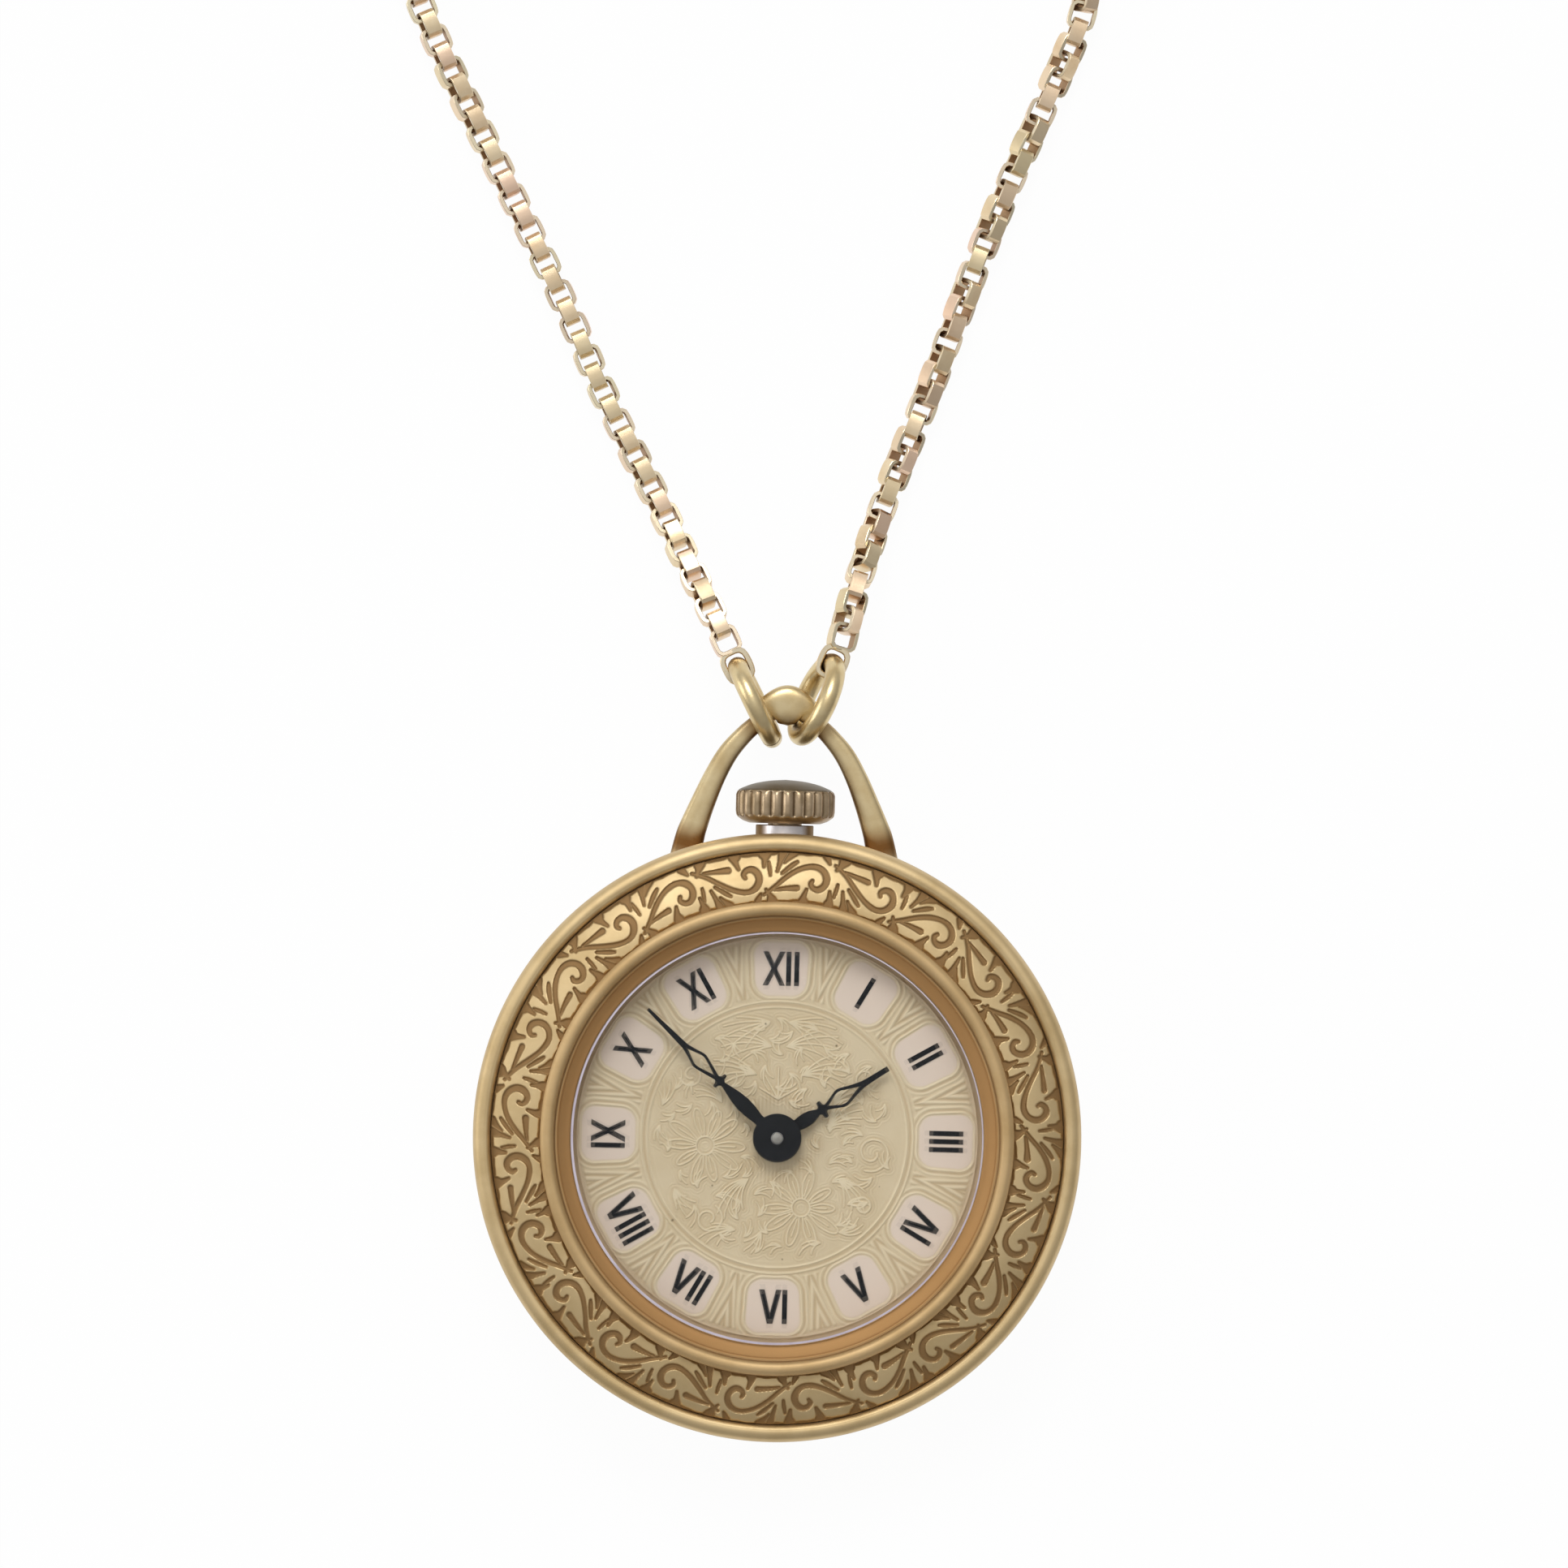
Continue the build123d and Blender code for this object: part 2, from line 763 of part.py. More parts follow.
with BuildPart() as movement_holder:
    with BuildSketch(Plane.XZ):
        with BuildLine():
            Polyline(
                (movement_radius + run_gap, bridge_bottom),
                (holder_radius, bridge_bottom),
                (holder_radius, flange_bottom - fit_gap),
                (dial_radius + run_gap, flange_bottom - fit_gap),
                (dial_radius + run_gap, plate_top),
                (movement_radius + run_gap, plate_top),
                close=True,
            )
        make_face()
    revolve(axis=Axis.Z)
    with BuildSketch(stem_plane.offset(movement_radius - overrun)):
        Rectangle(tube_radius * 2, (stem_height - bridge_bottom) * 2 + overrun)
    extrude(amount=holder_radius - movement_radius + overrun * 2, mode=Mode.SUBTRACT)
    with BuildSketch(Plane.XY.offset(bridge_bottom)):
        with Locations(*clamp_screw_places):
            Circle(screw_shank_radius + fit_gap)
    extrude(amount=screw_shank_length, mode=Mode.SUBTRACT)
finish(movement_holder, "movement_holder")


def screw(place, head_low, length):
    """A slotted screw whose head faces the back."""
    slot = Pos(place[0], place[1], head_low) * Box(
        screw_head_radius * 2 + overrun, screw_slot, screw_slot * 2, mode=Mode.PRIVATE
    )
    head = Pos(place[0], place[1], head_low) * Cylinder(
        screw_head_radius,
        screw_head_height,
        align=(Align.CENTER, Align.CENTER, Align.MIN),
        mode=Mode.PRIVATE,
    )
    shank = Pos(place[0], place[1], head_low + screw_head_height) * Cylinder(
        screw_shank_radius,
        length,
        align=(Align.CENTER, Align.CENTER, Align.MIN),
        mode=Mode.PRIVATE,
    )
    return head + shank - slot


with BuildPart() as case_clamps:
    with BuildSketch(Plane.XY.offset(clamp_low)):
        for angle in clamp_angles:
            middle = polar(movement_radius + clamp_width / 2, angle)
            with Locations(Location((middle[0], middle[1], 0), (0, 0, angle))):
                SlotOverall(clamp_length, clamp_width)
        with Locations(*clamp_screw_places):
            Circle(screw_shank_radius + fit_gap, mode=Mode.SUBTRACT)
    extrude(amount=clamp_thickness)
finish(case_clamps, "case_clamps")

# Main plate with the pockets of the train on the back and of the hands' wheels on the front

screw_places = [polar(screw_place_radius, angle) for angle in bridge_screw_angles]
screw_places.append(polar(cock_screw_radius, cock_screw_angle))
train_places = [third_place, fourth_place, escape_place]

with BuildPart() as main_plate:
    with BuildSketch(Plane.XY.offset(bridge_top)):
        Circle(movement_radius)
    extrude(amount=plate_top - bridge_top)
    with BuildSketch(Plane.XY.offset(bridge_top - overrun)):
        with Locations(barrel_place):
            Circle(barrel_radius + pocket_gap)
        Circle(centre_module * centre_teeth / 2 + pocket_gap)
        with Locations(third_place):
            Circle(third_module * third_teeth / 2 + pocket_gap)
        with Locations(fourth_place):
            Circle(fourth_module * fourth_teeth / 2 + pocket_gap)
        with Locations(escape_place):
            Circle(escape_radius + pocket_gap)
        with Locations(pallet_place):
            Circle(escape_radius + pocket_gap)
        with Locations(balance_place):
            Circle(balance_radius + pocket_gap)
    extrude(amount=plate_pocket_height - bridge_top + overrun, mode=Mode.SUBTRACT)
    with BuildSketch(Plane.XY.offset(recess_height)):
        Circle(motion_module * hour_teeth / 2 + pocket_gap)
        with Locations(minute_place):
            Circle(motion_module * minute_teeth / 2 + pocket_gap)
        with Locations(setting_place):
            Circle(motion_module * setting_teeth / 2 + pocket_gap)
    extrude(amount=plate_top - recess_height + overrun, mode=Mode.SUBTRACT)
    pinion_middle = (stem_square_end + clutch_pocket_end) / 2
    clutch_length = clutch_pocket_end - stem_square_end
    with BuildSketch(Plane.XY.offset(bridge_top - overrun)):
        with Locations((0, pinion_middle)):
            Rectangle(clutch_pocket_half * 2, clutch_length)
    extrude(amount=plate_top - bridge_top + overrun * 2, mode=Mode.SUBTRACT)
    sliding_half = sliding_pinion_radius + pocket_gap
    with BuildSketch(Plane.XY.offset(bridge_top - overrun)):
        with Locations((0, (stem_end + stem_square_end) / 2)):
            Rectangle(sliding_half * 2, stem_square_end - stem_end + pocket_gap * 2)
    extrude(amount=recess_height + run_gap - bridge_top + overrun, mode=Mode.SUBTRACT)
    with BuildSketch(stem_plane.offset(stem_square_end)):
        Circle(stem_radius + run_gap)
    extrude(amount=movement_radius + overrun - stem_square_end, mode=Mode.SUBTRACT)
    with BuildSketch(Plane.XY.offset(bridge_top - overrun)):
        Circle(centre_arbor_radius + run_gap)
        with Locations(barrel_place):
            Circle(arbor_pivot_radius + run_gap)
        with Locations(*train_places, balance_place, pallet_place):
            Circle(jewel_radius + fit_gap)
        with Locations(*screw_places):
            Circle(screw_shank_radius + fit_gap)
        with Locations(*[polar(dial_foot_place_radius, angle) for angle in dial_foot_angles]):
            Circle(dial_foot_radius + fit_gap)
    extrude(amount=plate_top - bridge_top + overrun * 2, mode=Mode.SUBTRACT)
    lever_low = stem_height + stem_radius
    with BuildSketch(Plane.XY.offset(lever_low)):
        with Locations((stem_radius * 2, lever_pocket_middle)):
            Rectangle(lever_pocket_width, lever_pocket_length)
        with Locations((-yoke_pocket_side, yoke_pocket_middle)):
            Rectangle(yoke_pocket_width, yoke_pocket_length)
    extrude(amount=plate_top - lever_low + overrun, mode=Mode.SUBTRACT)
    with BuildSketch(Plane.XY.offset(recess_height)):
        with Locations(minute_place, setting_place):
            Circle(pivot_radius)
    extrude(amount=plate_top - recess_height)
finish(main_plate, "main_plate")

# Bridges over the train

barrel_bridge_shares = [
    (-0.42, 1.05),
    (-0.36, 0.43),
    (0.03, 0.14),
    (0.15, -0.065),
    (1.05, -0.34),
    (1.05, 1.05),
]
train_bridge_shares = [
    (-0.11, 0.13),
    (0.01, 0.13),
    (0.135, -0.085),
    (1.05, -0.365),
    (1.05, -1.05),
    (-0.56, -1.05),
    (-0.6, -0.5),
    (-0.34, -0.28),
    (-0.15, -0.11),
]
cock_shares = [
    (-1.05, 0.52),
    (-0.78, 0.46),
    (-0.46, 0.09),
    (-0.46, -0.1),
    (-0.7, -0.18),
    (-1.05, -0.16),
]


def bridge_face(outline_shares):
    return [(x * bridge_radius, y * bridge_radius) for x, y in outline_shares]


click_place = polar(click_distance, click_angle, barrel_place)

with BuildPart() as barrel_bridge:
    with BuildSketch(Plane.XY.offset(bridge_bottom)):
        Circle(bridge_radius)
        Polygon(*bridge_face(barrel_bridge_shares), align=None, mode=Mode.INTERSECT)
        with Locations(barrel_place):
            Circle(arbor_pivot_radius + run_gap, mode=Mode.SUBTRACT)
        with Locations(*screw_places):
            Circle(screw_shank_radius + fit_gap, mode=Mode.SUBTRACT)
        with Locations((0, pinion_middle)):
            Rectangle(clutch_pocket_half * 2, clutch_length, mode=Mode.SUBTRACT)
    extrude(amount=bridge_thickness)
    with BuildSketch(Plane.XY.offset(stem_height - sliding_pinion_radius - run_gap)):
        with Locations((0, (stem_end + stem_square_end) / 2)):
            Rectangle(sliding_half * 2, stem_square_end - stem_end + pocket_gap * 2)
    extrude(amount=bridge_thickness, mode=Mode.SUBTRACT)
    with BuildSketch(Plane.XY.offset(winding_low)):
        with Locations(crown_wheel_place):
            Circle(arbor_pivot_radius)
        with Locations(click_place):
            Circle(screw_shank_radius)
    extrude(amount=bridge_bottom - winding_low)
finish(barrel_bridge, "barrel_bridge")

with BuildPart() as train_bridge:
    with BuildSketch(Plane.XY.offset(bridge_bottom)):
        Circle(bridge_radius)
        Polygon(*bridge_face(train_bridge_shares), align=None, mode=Mode.INTERSECT)
        with Locations((0, 0), *train_places):
            Circle(jewel_radius + fit_gap, mode=Mode.SUBTRACT)
        with Locations(*screw_places):
            Circle(screw_shank_radius + fit_gap, mode=Mode.SUBTRACT)
    extrude(amount=bridge_thickness)
finish(train_bridge, "train_bridge")

with BuildPart() as balance_cock:
    with BuildSketch(Plane.XY.offset(bridge_bottom)):
        Circle(bridge_radius)
        Polygon(*bridge_face(cock_shares), align=None, mode=Mode.INTERSECT)
        with Locations(balance_place):
            Circle(jewel_radius + fit_gap, mode=Mode.SUBTRACT)
        with Locations(*screw_places):
            Circle(screw_shank_radius + fit_gap, mode=Mode.SUBTRACT)
    extrude(amount=bridge_thickness)
finish(balance_cock, "balance_cock")

with BuildPart() as jewels:
    with BuildSketch(Plane.XY.offset(bridge_bottom + fit_gap)):
        with Locations((0, 0), *train_places, balance_place):
            Circle(jewel_radius)
            Circle(pivot_radius + fit_gap, mode=Mode.SUBTRACT)
    extrude(amount=jewel_thickness)
    with BuildSketch(Plane.XY.offset(plate_top - fit_gap - jewel_thickness)):
        with Locations(*train_places, balance_place, pallet_place):
            Circle(jewel_radius)
            Circle(pivot_radius + fit_gap, mode=Mode.SUBTRACT)
    extrude(amount=jewel_thickness)
finish(jewels, "jewels")

# Barrel, mainspring and train wheels

with BuildPart() as barrel:
    with BuildSketch(Plane.XY.offset(barrel_low)):
        with Locations(barrel_place):
            phase = barrel_angle + half_turn
            Polygon(*tooth_points(barrel_teeth, barrel_module, phase), align=None)
    extrude(amount=barrel_rim_height)
    with BuildSketch(Plane.XY.offset(barrel_low + barrel_rim_height)):
        with Locations(barrel_place):
            Circle(drum_radius)
    extrude(amount=barrel_height - barrel_rim_height)
    with BuildSketch(Plane.XY.offset(barrel_low + barrel_floor)):
        with Locations(barrel_place):
            Circle(drum_radius - barrel_wall)
    extrude(amount=barrel_height, mode=Mode.SUBTRACT)
    with BuildSketch(Plane.XY.offset(barrel_low - overrun)):
        with Locations(barrel_place):
            Circle(arbor_pivot_radius + run_gap)
    extrude(amount=overrun + barrel_height, mode=Mode.SUBTRACT)
finish(barrel, "barrel")

with BuildPart() as barrel_cover:
    with BuildSketch(Plane.XY.offset(barrel_low + barrel_height - barrel_floor)):
        with Locations(barrel_place):
            Circle(drum_radius - barrel_wall - fit_gap)
            Circle(arbor_pivot_radius + run_gap, mode=Mode.SUBTRACT)
    extrude(amount=barrel_floor)
finish(barrel_cover, "barrel_cover")

with BuildPart() as mainspring:
    spring_outer = drum_radius - barrel_wall - mainspring_width
    with BuildSketch(Plane.XY.offset(barrel_low + barrel_floor + run_gap)):
        with BuildLine():
            spiral_arcs(barrel_place, 0.0, spring_outer, mainspring_step, mainspring_quarters)
        trace(line_width=mainspring_width)
    extrude(amount=barrel_height - barrel_floor * 2 - run_gap * 2)
finish(mainspring, "mainspring")

with BuildPart() as barrel_arbor:
    arbor_low = winding_low + winding_height
    with BuildSketch(Plane.XY.offset(arbor_low)):
        with Locations(barrel_place):
            Circle(arbor_pivot_radius)
    extrude(amount=plate_top - pocket_gap - arbor_low)
    with BuildSketch(Plane.XY.offset(barrel_low + barrel_floor + run_gap)):
        with Locations(barrel_place):
            Circle(arbor_radius)
    extrude(amount=barrel_height - barrel_floor * 2 - run_gap * 2)
finish(barrel_arbor, "barrel_arbor")


def spoked_wheel(place, teeth, module, phase, low, hub, spokes):
    """A toothed wheel with its spokes, bored for its arbor."""
    rim = module * teeth / 2 - module * rim_share
    with BuildPart() as wheel:
        with BuildSketch(Plane.XY.offset(low)):
            with Locations(place):
                Polygon(*tooth_points(teeth, module, phase), align=None)
        extrude(amount=wheel_thickness)
        with BuildSketch(Plane.XY.offset(low - overrun)):
            with Locations(place):
                Circle(rim)
                Circle(hub, mode=Mode.SUBTRACT)
            for spoke in range(spokes):
                turn = Location((place[0], place[1], 0), (0, 0, spoke * full_turn / spokes))
                with Locations(turn * Location((rim / 2, 0, 0))):
                    Rectangle(rim, hub / 2, mode=Mode.SUBTRACT)
        extrude(amount=wheel_thickness + overrun * 2, mode=Mode.SUBTRACT)
        with BuildSketch(Plane.XY.offset(low - overrun)):
            with Locations(place):
                Circle(staff_radius)
        extrude(amount=wheel_thickness + overrun * 2, mode=Mode.SUBTRACT)
    return wheel


def pinion_arbor(place, leaves, module, phase, low, high, bottom, top, radius=pivot_radius):
    """A pinion cut on its arbor, whose ends are the pivots."""
    with BuildPart() as arbor:
        with BuildSketch(Plane.XY.offset(low)):
            with Locations(place):
                Polygon(*tooth_points(leaves, module, phase), align=None)
        extrude(amount=high - low)
        with BuildSketch(Plane.XY.offset(bottom)):
            with Locations(place):
                Circle(radius)
        extrude(amount=top - bottom)
    return arbor


pivot_bottom = bridge_bottom + fit_gap * 2
pivot_top = plate_top - fit_gap * 2

centre_wheel = spoked_wheel(
    (0.0, 0.0), centre_teeth, centre_module, third_angle, centre_wheel_low, wheel_hub, wheel_spokes
)
finish(centre_wheel, "centre_wheel")
centre_arbor = pinion_arbor(
    (0.0, 0.0),
    centre_leaves,
    barrel_module,
    pinion_phase(barrel_angle + half_turn, centre_leaves),
    centre_pinion_low,
    centre_wheel_low - fit_gap,
    pivot_bottom,
    centre_wheel_low,
)
with BuildPart() as centre_pinion:
    add(centre_arbor.part)
    with BuildSketch(Plane.XY.offset(centre_wheel_low - fit_gap)):
        Circle(staff_radius - fit_gap)
    extrude(amount=wheel_thickness + fit_gap * 2)
    with BuildSketch(Plane.XY.offset(centre_wheel_low + wheel_thickness + fit_gap)):
        Circle(centre_arbor_radius)
    extrude(amount=cannon_top - run_gap - centre_wheel_low - wheel_thickness)
finish(centre_pinion, "centre_pinion")

third_wheel = spoked_wheel(
    third_place, third_teeth, third_module, fourth_angle, third_wheel_low, wheel_hub, wheel_spokes
)
finish(third_wheel, "third_wheel")
third_pinion = pinion_arbor(
    third_place,
    third_leaves,
    centre_module,
    pinion_phase(third_angle, third_leaves),
    third_pinion_low,
    plate_pocket_height - run_gap * 2,
    pivot_bottom,
    pivot_top,
)
finish(third_pinion, "third_pinion")

fourth_wheel = spoked_wheel(
    fourth_place,
    fourth_teeth,
    fourth_module,
    escape_angle,
    fourth_wheel_low,
    wheel_hub,
    wheel_spokes,
)
finish(fourth_wheel, "fourth_wheel")
fourth_pinion = pinion_arbor(
    fourth_place,
    fourth_leaves,
    third_module,
    pinion_phase(fourth_angle, fourth_leaves),
    fourth_pinion_low,
    fourth_wheel_low - fit_gap,
    pivot_bottom,
    pivot_top,
)
finish(fourth_pinion, "fourth_pinion")

with BuildPart() as escape_wheel:
    step = full_turn / escape_teeth
    rim_radius = escape_radius * escape_rim_share
    with BuildSketch(Plane.XY.offset(escape_wheel_low)):
        with Locations(escape_place):
            points = []
            for tooth in range(escape_teeth):
                base = tooth * step
                points.append(polar(rim_radius, base))
                points.append(polar(escape_radius, base + step * escape_tip_shares[0]))
                points.append(polar(escape_radius, base + step * escape_tip_shares[1]))
                points.append(polar(rim_radius, base + step * escape_heel_share))
            Polygon(*points, align=None)
            Circle(rim_radius * escape_web_share, mode=Mode.SUBTRACT)
            Circle(wheel_hub)
        spoke_length = rim_radius * escape_spoke_share
        for spoke in range(wheel_spokes):
            spoke_angle = spoke * full_turn / wheel_spokes
            turn = Location((escape_place[0], escape_place[1], 0), (0, 0, spoke_angle))
            with Locations(turn * Location((spoke_length / 2, 0, 0))):
                Rectangle(spoke_length, wheel_hub / 2)
        with Locations(escape_place):
            Circle(staff_radius, mode=Mode.SUBTRACT)
    extrude(amount=wheel_thickness - fit_gap)
finish(escape_wheel, "escape_wheel")
escape_pinion = pinion_arbor(
    escape_place,
    escape_leaves,
    fourth_module,
    pinion_phase(escape_angle, escape_leaves),
    escape_pinion_low,
    escape_wheel_low - fit_gap,
    pivot_bottom,
    pivot_top,
)
finish(escape_pinion, "escape_pinion")

# Lever, its stones and cock

fork_length = balance_centre_distance - roller_pin_place - run_gap
cock_low = escape_wheel_low - cock_drop

with BuildPart() as pallet_fork:
    with BuildSketch(Plane.XY.offset(escape_wheel_low)):
        to_balance = Location((pallet_place[0], pallet_place[1], 0), (0, 0, balance_angle))
        with Locations(to_balance * Location((fork_length / 2, 0, 0))):
            Rectangle(fork_length, fork_width)
        with Locations(to_balance * Location((fork_length, 0, 0))):
            Rectangle(fork_horn_length, fork_horn_width)
        for side in (-1, 1):
            stone = polar(escape_radius, pallet_angle + side * pallet_span_angle, escape_place)
            across = math.hypot(stone[0] - pallet_place[0], stone[1] - pallet_place[1])
            way = math.degrees(
                math.atan2(stone[1] - pallet_place[1], stone[0] - pallet_place[0])
            )
            arm = Location((pallet_place[0], pallet_place[1], 0), (0, 0, way))
            with Locations(arm * Location(((across - stone_length) / 2, 0, 0))):
                Rectangle(across - stone_length, fork_width)
        with Locations(pallet_place):
            Circle(fork_hub_radius)
        with Locations(to_balance * Location((fork_length, 0, 0))):
            slot_width = roller_pin_radius * 2 + run_gap * 2
            Rectangle(fork_width * 2, slot_width, mode=Mode.SUBTRACT)
    extrude(amount=wheel_thickness - fit_gap)
    with BuildSketch(Plane.XY.offset(cock_low + fit_gap)):
        with Locations(pallet_place):
            Circle(pivot_radius)
    extrude(amount=pivot_top - cock_low - fit_gap)
finish(pallet_fork, "pallet_fork")

with BuildPart() as pallet_stones:
    with BuildSketch(Plane.XY.offset(escape_wheel_low)):
        for side in (-1, 1):
            stone = polar(escape_radius, pallet_angle + side * pallet_span_angle, escape_place)
            across = math.hypot(stone[0] - pallet_place[0], stone[1] - pallet_place[1])
            way = math.degrees(
                math.atan2(stone[1] - pallet_place[1], stone[0] - pallet_place[0])
            )
            arm = Location((pallet_place[0], pallet_place[1], 0), (0, 0, way))
            reach = across - stone_length + fit_gap
            with Locations(arm * Location((reach + stone_length / 3, 0, 0))):
                Rectangle(stone_length * 2 / 3, stone_width)
    extrude(amount=wheel_thickness - fit_gap)
finish(pallet_stones, "pallet_stones")

with BuildPart() as pallet_cock:
    cock_feet = [
        polar(cock_foot_distance, angle, pallet_place)
        for angle in (cock_angle, cock_angle + half_turn)
    ]
    with BuildSketch(Plane.XY.offset(cock_low)):
        with Locations(Location((pallet_place[0], pallet_place[1], 0), (0, 0, cock_angle))):
            SlotOverall(cock_foot_distance * 2 + cock_width, cock_width)
        with Locations(pallet_place):
            Circle(pivot_radius + run_gap, mode=Mode.SUBTRACT)
    extrude(amount=cock_height)
    with BuildSketch(Plane.XY.offset(cock_low)):
        with Locations(*cock_feet):
            Circle(cock_foot_radius)
    extrude(amount=plate_pocket_height - cock_low)
finish(pallet_cock, "pallet_cock")

# Balance, hairspring and regulator

with BuildPart() as balance_wheel:
    with BuildSketch(Plane.XY.offset(balance_low)):
        with Locations(balance_place):
            Circle(balance_radius)
            Circle(balance_radius - balance_rim_width, mode=Mode.SUBTRACT)
            Circle(wheel_hub)
            Rectangle(balance_arm_width, balance_radius * 2 - balance_rim_width)
            Circle(staff_radius, mode=Mode.SUBTRACT)
    extrude(amount=balance_height)
finish(balance_wheel, "balance_wheel")

with BuildPart() as balance_staff:
    with BuildSketch(Plane.XY.offset(pivot_bottom)):
        with Locations(balance_place):
            Circle(pivot_radius)
    extrude(amount=pivot_top - pivot_bottom)
    with BuildSketch(Plane.XY.offset(hairspring_low)):
        with Locations(balance_place):
            Circle(collet_radius)
    extrude(amount=balance_low - fit_gap - hairspring_low)
    with BuildSketch(Plane.XY.offset(roller_low)):
        with Locations(balance_place):
            Circle(roller_radius)
    extrude(amount=roller_height)
    pin_way = polar(roller_pin_place, balance_angle + half_turn, balance_place)
    with BuildSketch(Plane.XY.offset(roller_low)):
        with Locations(pin_way):
            Circle(roller_pin_radius)
    extrude(amount=plate_pocket_height - run_gap - roller_low)
finish(balance_staff, "balance_staff")

with BuildPart() as hairspring:
    with BuildSketch(Plane.XY.offset(hairspring_low)):
        with BuildLine():
            spiral_arcs(
                balance_place,
                hairspring_stud_angle,
                hairspring_outer,
                hairspring_step,
                hairspring_quarters,
            )
        trace(line_width=hairspring_width)
    extrude(amount=hairspring_height)
    stud = polar(hairspring_outer + pivot_radius, hairspring_stud_angle, balance_place)
    with BuildSketch(Plane.XY.offset(bridge_top)):
        with Locations(stud):
            Circle(pivot_radius + hairspring_width)
    extrude(amount=hairspring_low + hairspring_height - bridge_top)
finish(hairspring, "hairspring")

with BuildPart() as regulator:
    regulator_low = bridge_bottom - pocket_gap + run_gap
    with BuildSketch(Plane.XY.offset(regulator_low)):
        with Locations(balance_place):
            Circle(regulator_radius)
            Circle(regulator_bore_radius, mode=Mode.SUBTRACT)
        tail = Location((balance_place[0], balance_place[1], 0), (0, 0, regulator_angle))
        with Locations(tail * Location((regulator_tail_middle, 0, 0))):
            Rectangle(regulator_tail_length, regulator_tail_width)
    extrude(amount=bridge_bottom - run_gap / 2 - regulator_low)
finish(regulator, "regulator")

# Winding work on the barrel bridge

with BuildPart() as ratchet_wheel:
    ratchet_way = math.degrees(
        math.atan2(
            crown_wheel_place[1] - barrel_place[1], crown_wheel_place[0] - barrel_place[0]
        )
    )
    with BuildSketch(Plane.XY.offset(winding_low)):
        with Locations(barrel_place):
            Polygon(*tooth_points(ratchet_teeth, winding_module, ratchet_way), align=None)
    extrude(amount=winding_height)
finish(ratchet_wheel, "ratchet_wheel")

with BuildPart() as crown_wheel:
    wheel_phase = pinion_phase(ratchet_way, winding_teeth)
    with BuildSketch(Plane.XY.offset(winding_low)):
        with Locations(crown_wheel_place):
            Polygon(*tooth_points(winding_teeth, winding_module, wheel_phase), align=None)
            Circle(arbor_pivot_radius + run_gap, mode=Mode.SUBTRACT)
    extrude(amount=winding_height)
finish(crown_wheel, "crown_wheel")

# Screws of the bridges, the clamps and the winding wheels

with BuildPart() as movement_screws:
    for place in screw_places:
        add(screw(place, bridge_bottom - screw_head_height, screw_shank_length))
    for place in clamp_screw_places:
        add(screw(place, clamp_low - screw_head_height, screw_shank_length))
    for place in (barrel_place, crown_wheel_place):
        head = Pos(place[0], place[1], winding_low - fit_gap) * Cylinder(
            wheel_screw_radius,
            screw_head_height / 2,
            align=(Align.CENTER, Align.CENTER, Align.MAX),
            mode=Mode.PRIVATE,
        )
        slot_place = winding_low - fit_gap - screw_head_height / 2
        slot = Pos(place[0], place[1], slot_place) * Box(
            wheel_screw_radius * 2 + overrun, screw_slot, screw_slot, mode=Mode.PRIVATE
        )
        add(head - slot)
finish(movement_screws, "movement_screws")

with BuildPart() as click:
    nose_radius = winding_module * ratchet_teeth / 2 + winding_module
    nose = polar(nose_radius, click_nose_angle, barrel_place)
    inner = polar(click_distance - click_radius / 2, click_heel_angle, barrel_place)
    with BuildSketch(Plane.XY.offset(winding_low)):
        with Locations(click_place):
            Circle(click_radius)
        Polygon(
            polar(click_root_radius, click_root_angles[0], click_place),
            nose,
            inner,
            polar(click_root_radius, click_root_angles[1], click_place),
            align=None,
        )
        with Locations(click_place):
            Circle(screw_shank_radius + run_gap, mode=Mode.SUBTRACT)
    extrude(amount=winding_height)
finish(click, "click")

with BuildPart() as click_spring:
    spring_radius = click_distance + click_radius + run_gap
    spring_foot = polar(spring_radius, click_spring_start + click_spring_size, barrel_place)
    with BuildSketch(Plane.XY.offset(winding_low)):
        with BuildLine():
            CenterArc(barrel_place, spring_radius, click_spring_start, click_spring_size)
        trace(line_width=click_spring_width)
        with Locations(spring_foot):
            Circle(screw_shank_radius)
    extrude(amount=winding_height)
finish(click_spring, "click_spring")

# Setting lever and yoke on the dial side

with BuildPart() as setting_lever:
    lever_place = (lever_side, stem_groove_place + stem_radius)
    with BuildSketch(Plane.XY.offset(lever_low + run_gap)):
        with Locations(lever_place):
            Circle(stem_radius)
        with Locations((lever_place[0] / 2, stem_groove_place + stem_groove_width / 2)):
            Rectangle(lever_place[0] + stem_groove_width / 2, stem_radius)
    extrude(amount=wheel_thickness)
    with BuildSketch(Plane.XY.offset(stem_height + stem_groove_radius + run_gap)):
        with Locations((0, stem_groove_place + stem_groove_width / 2)):
            Circle(pivot_radius)
    extrude(amount=lever_low + run_gap * 2 - stem_height - stem_groove_radius)
finish(setting_lever, "setting_lever")

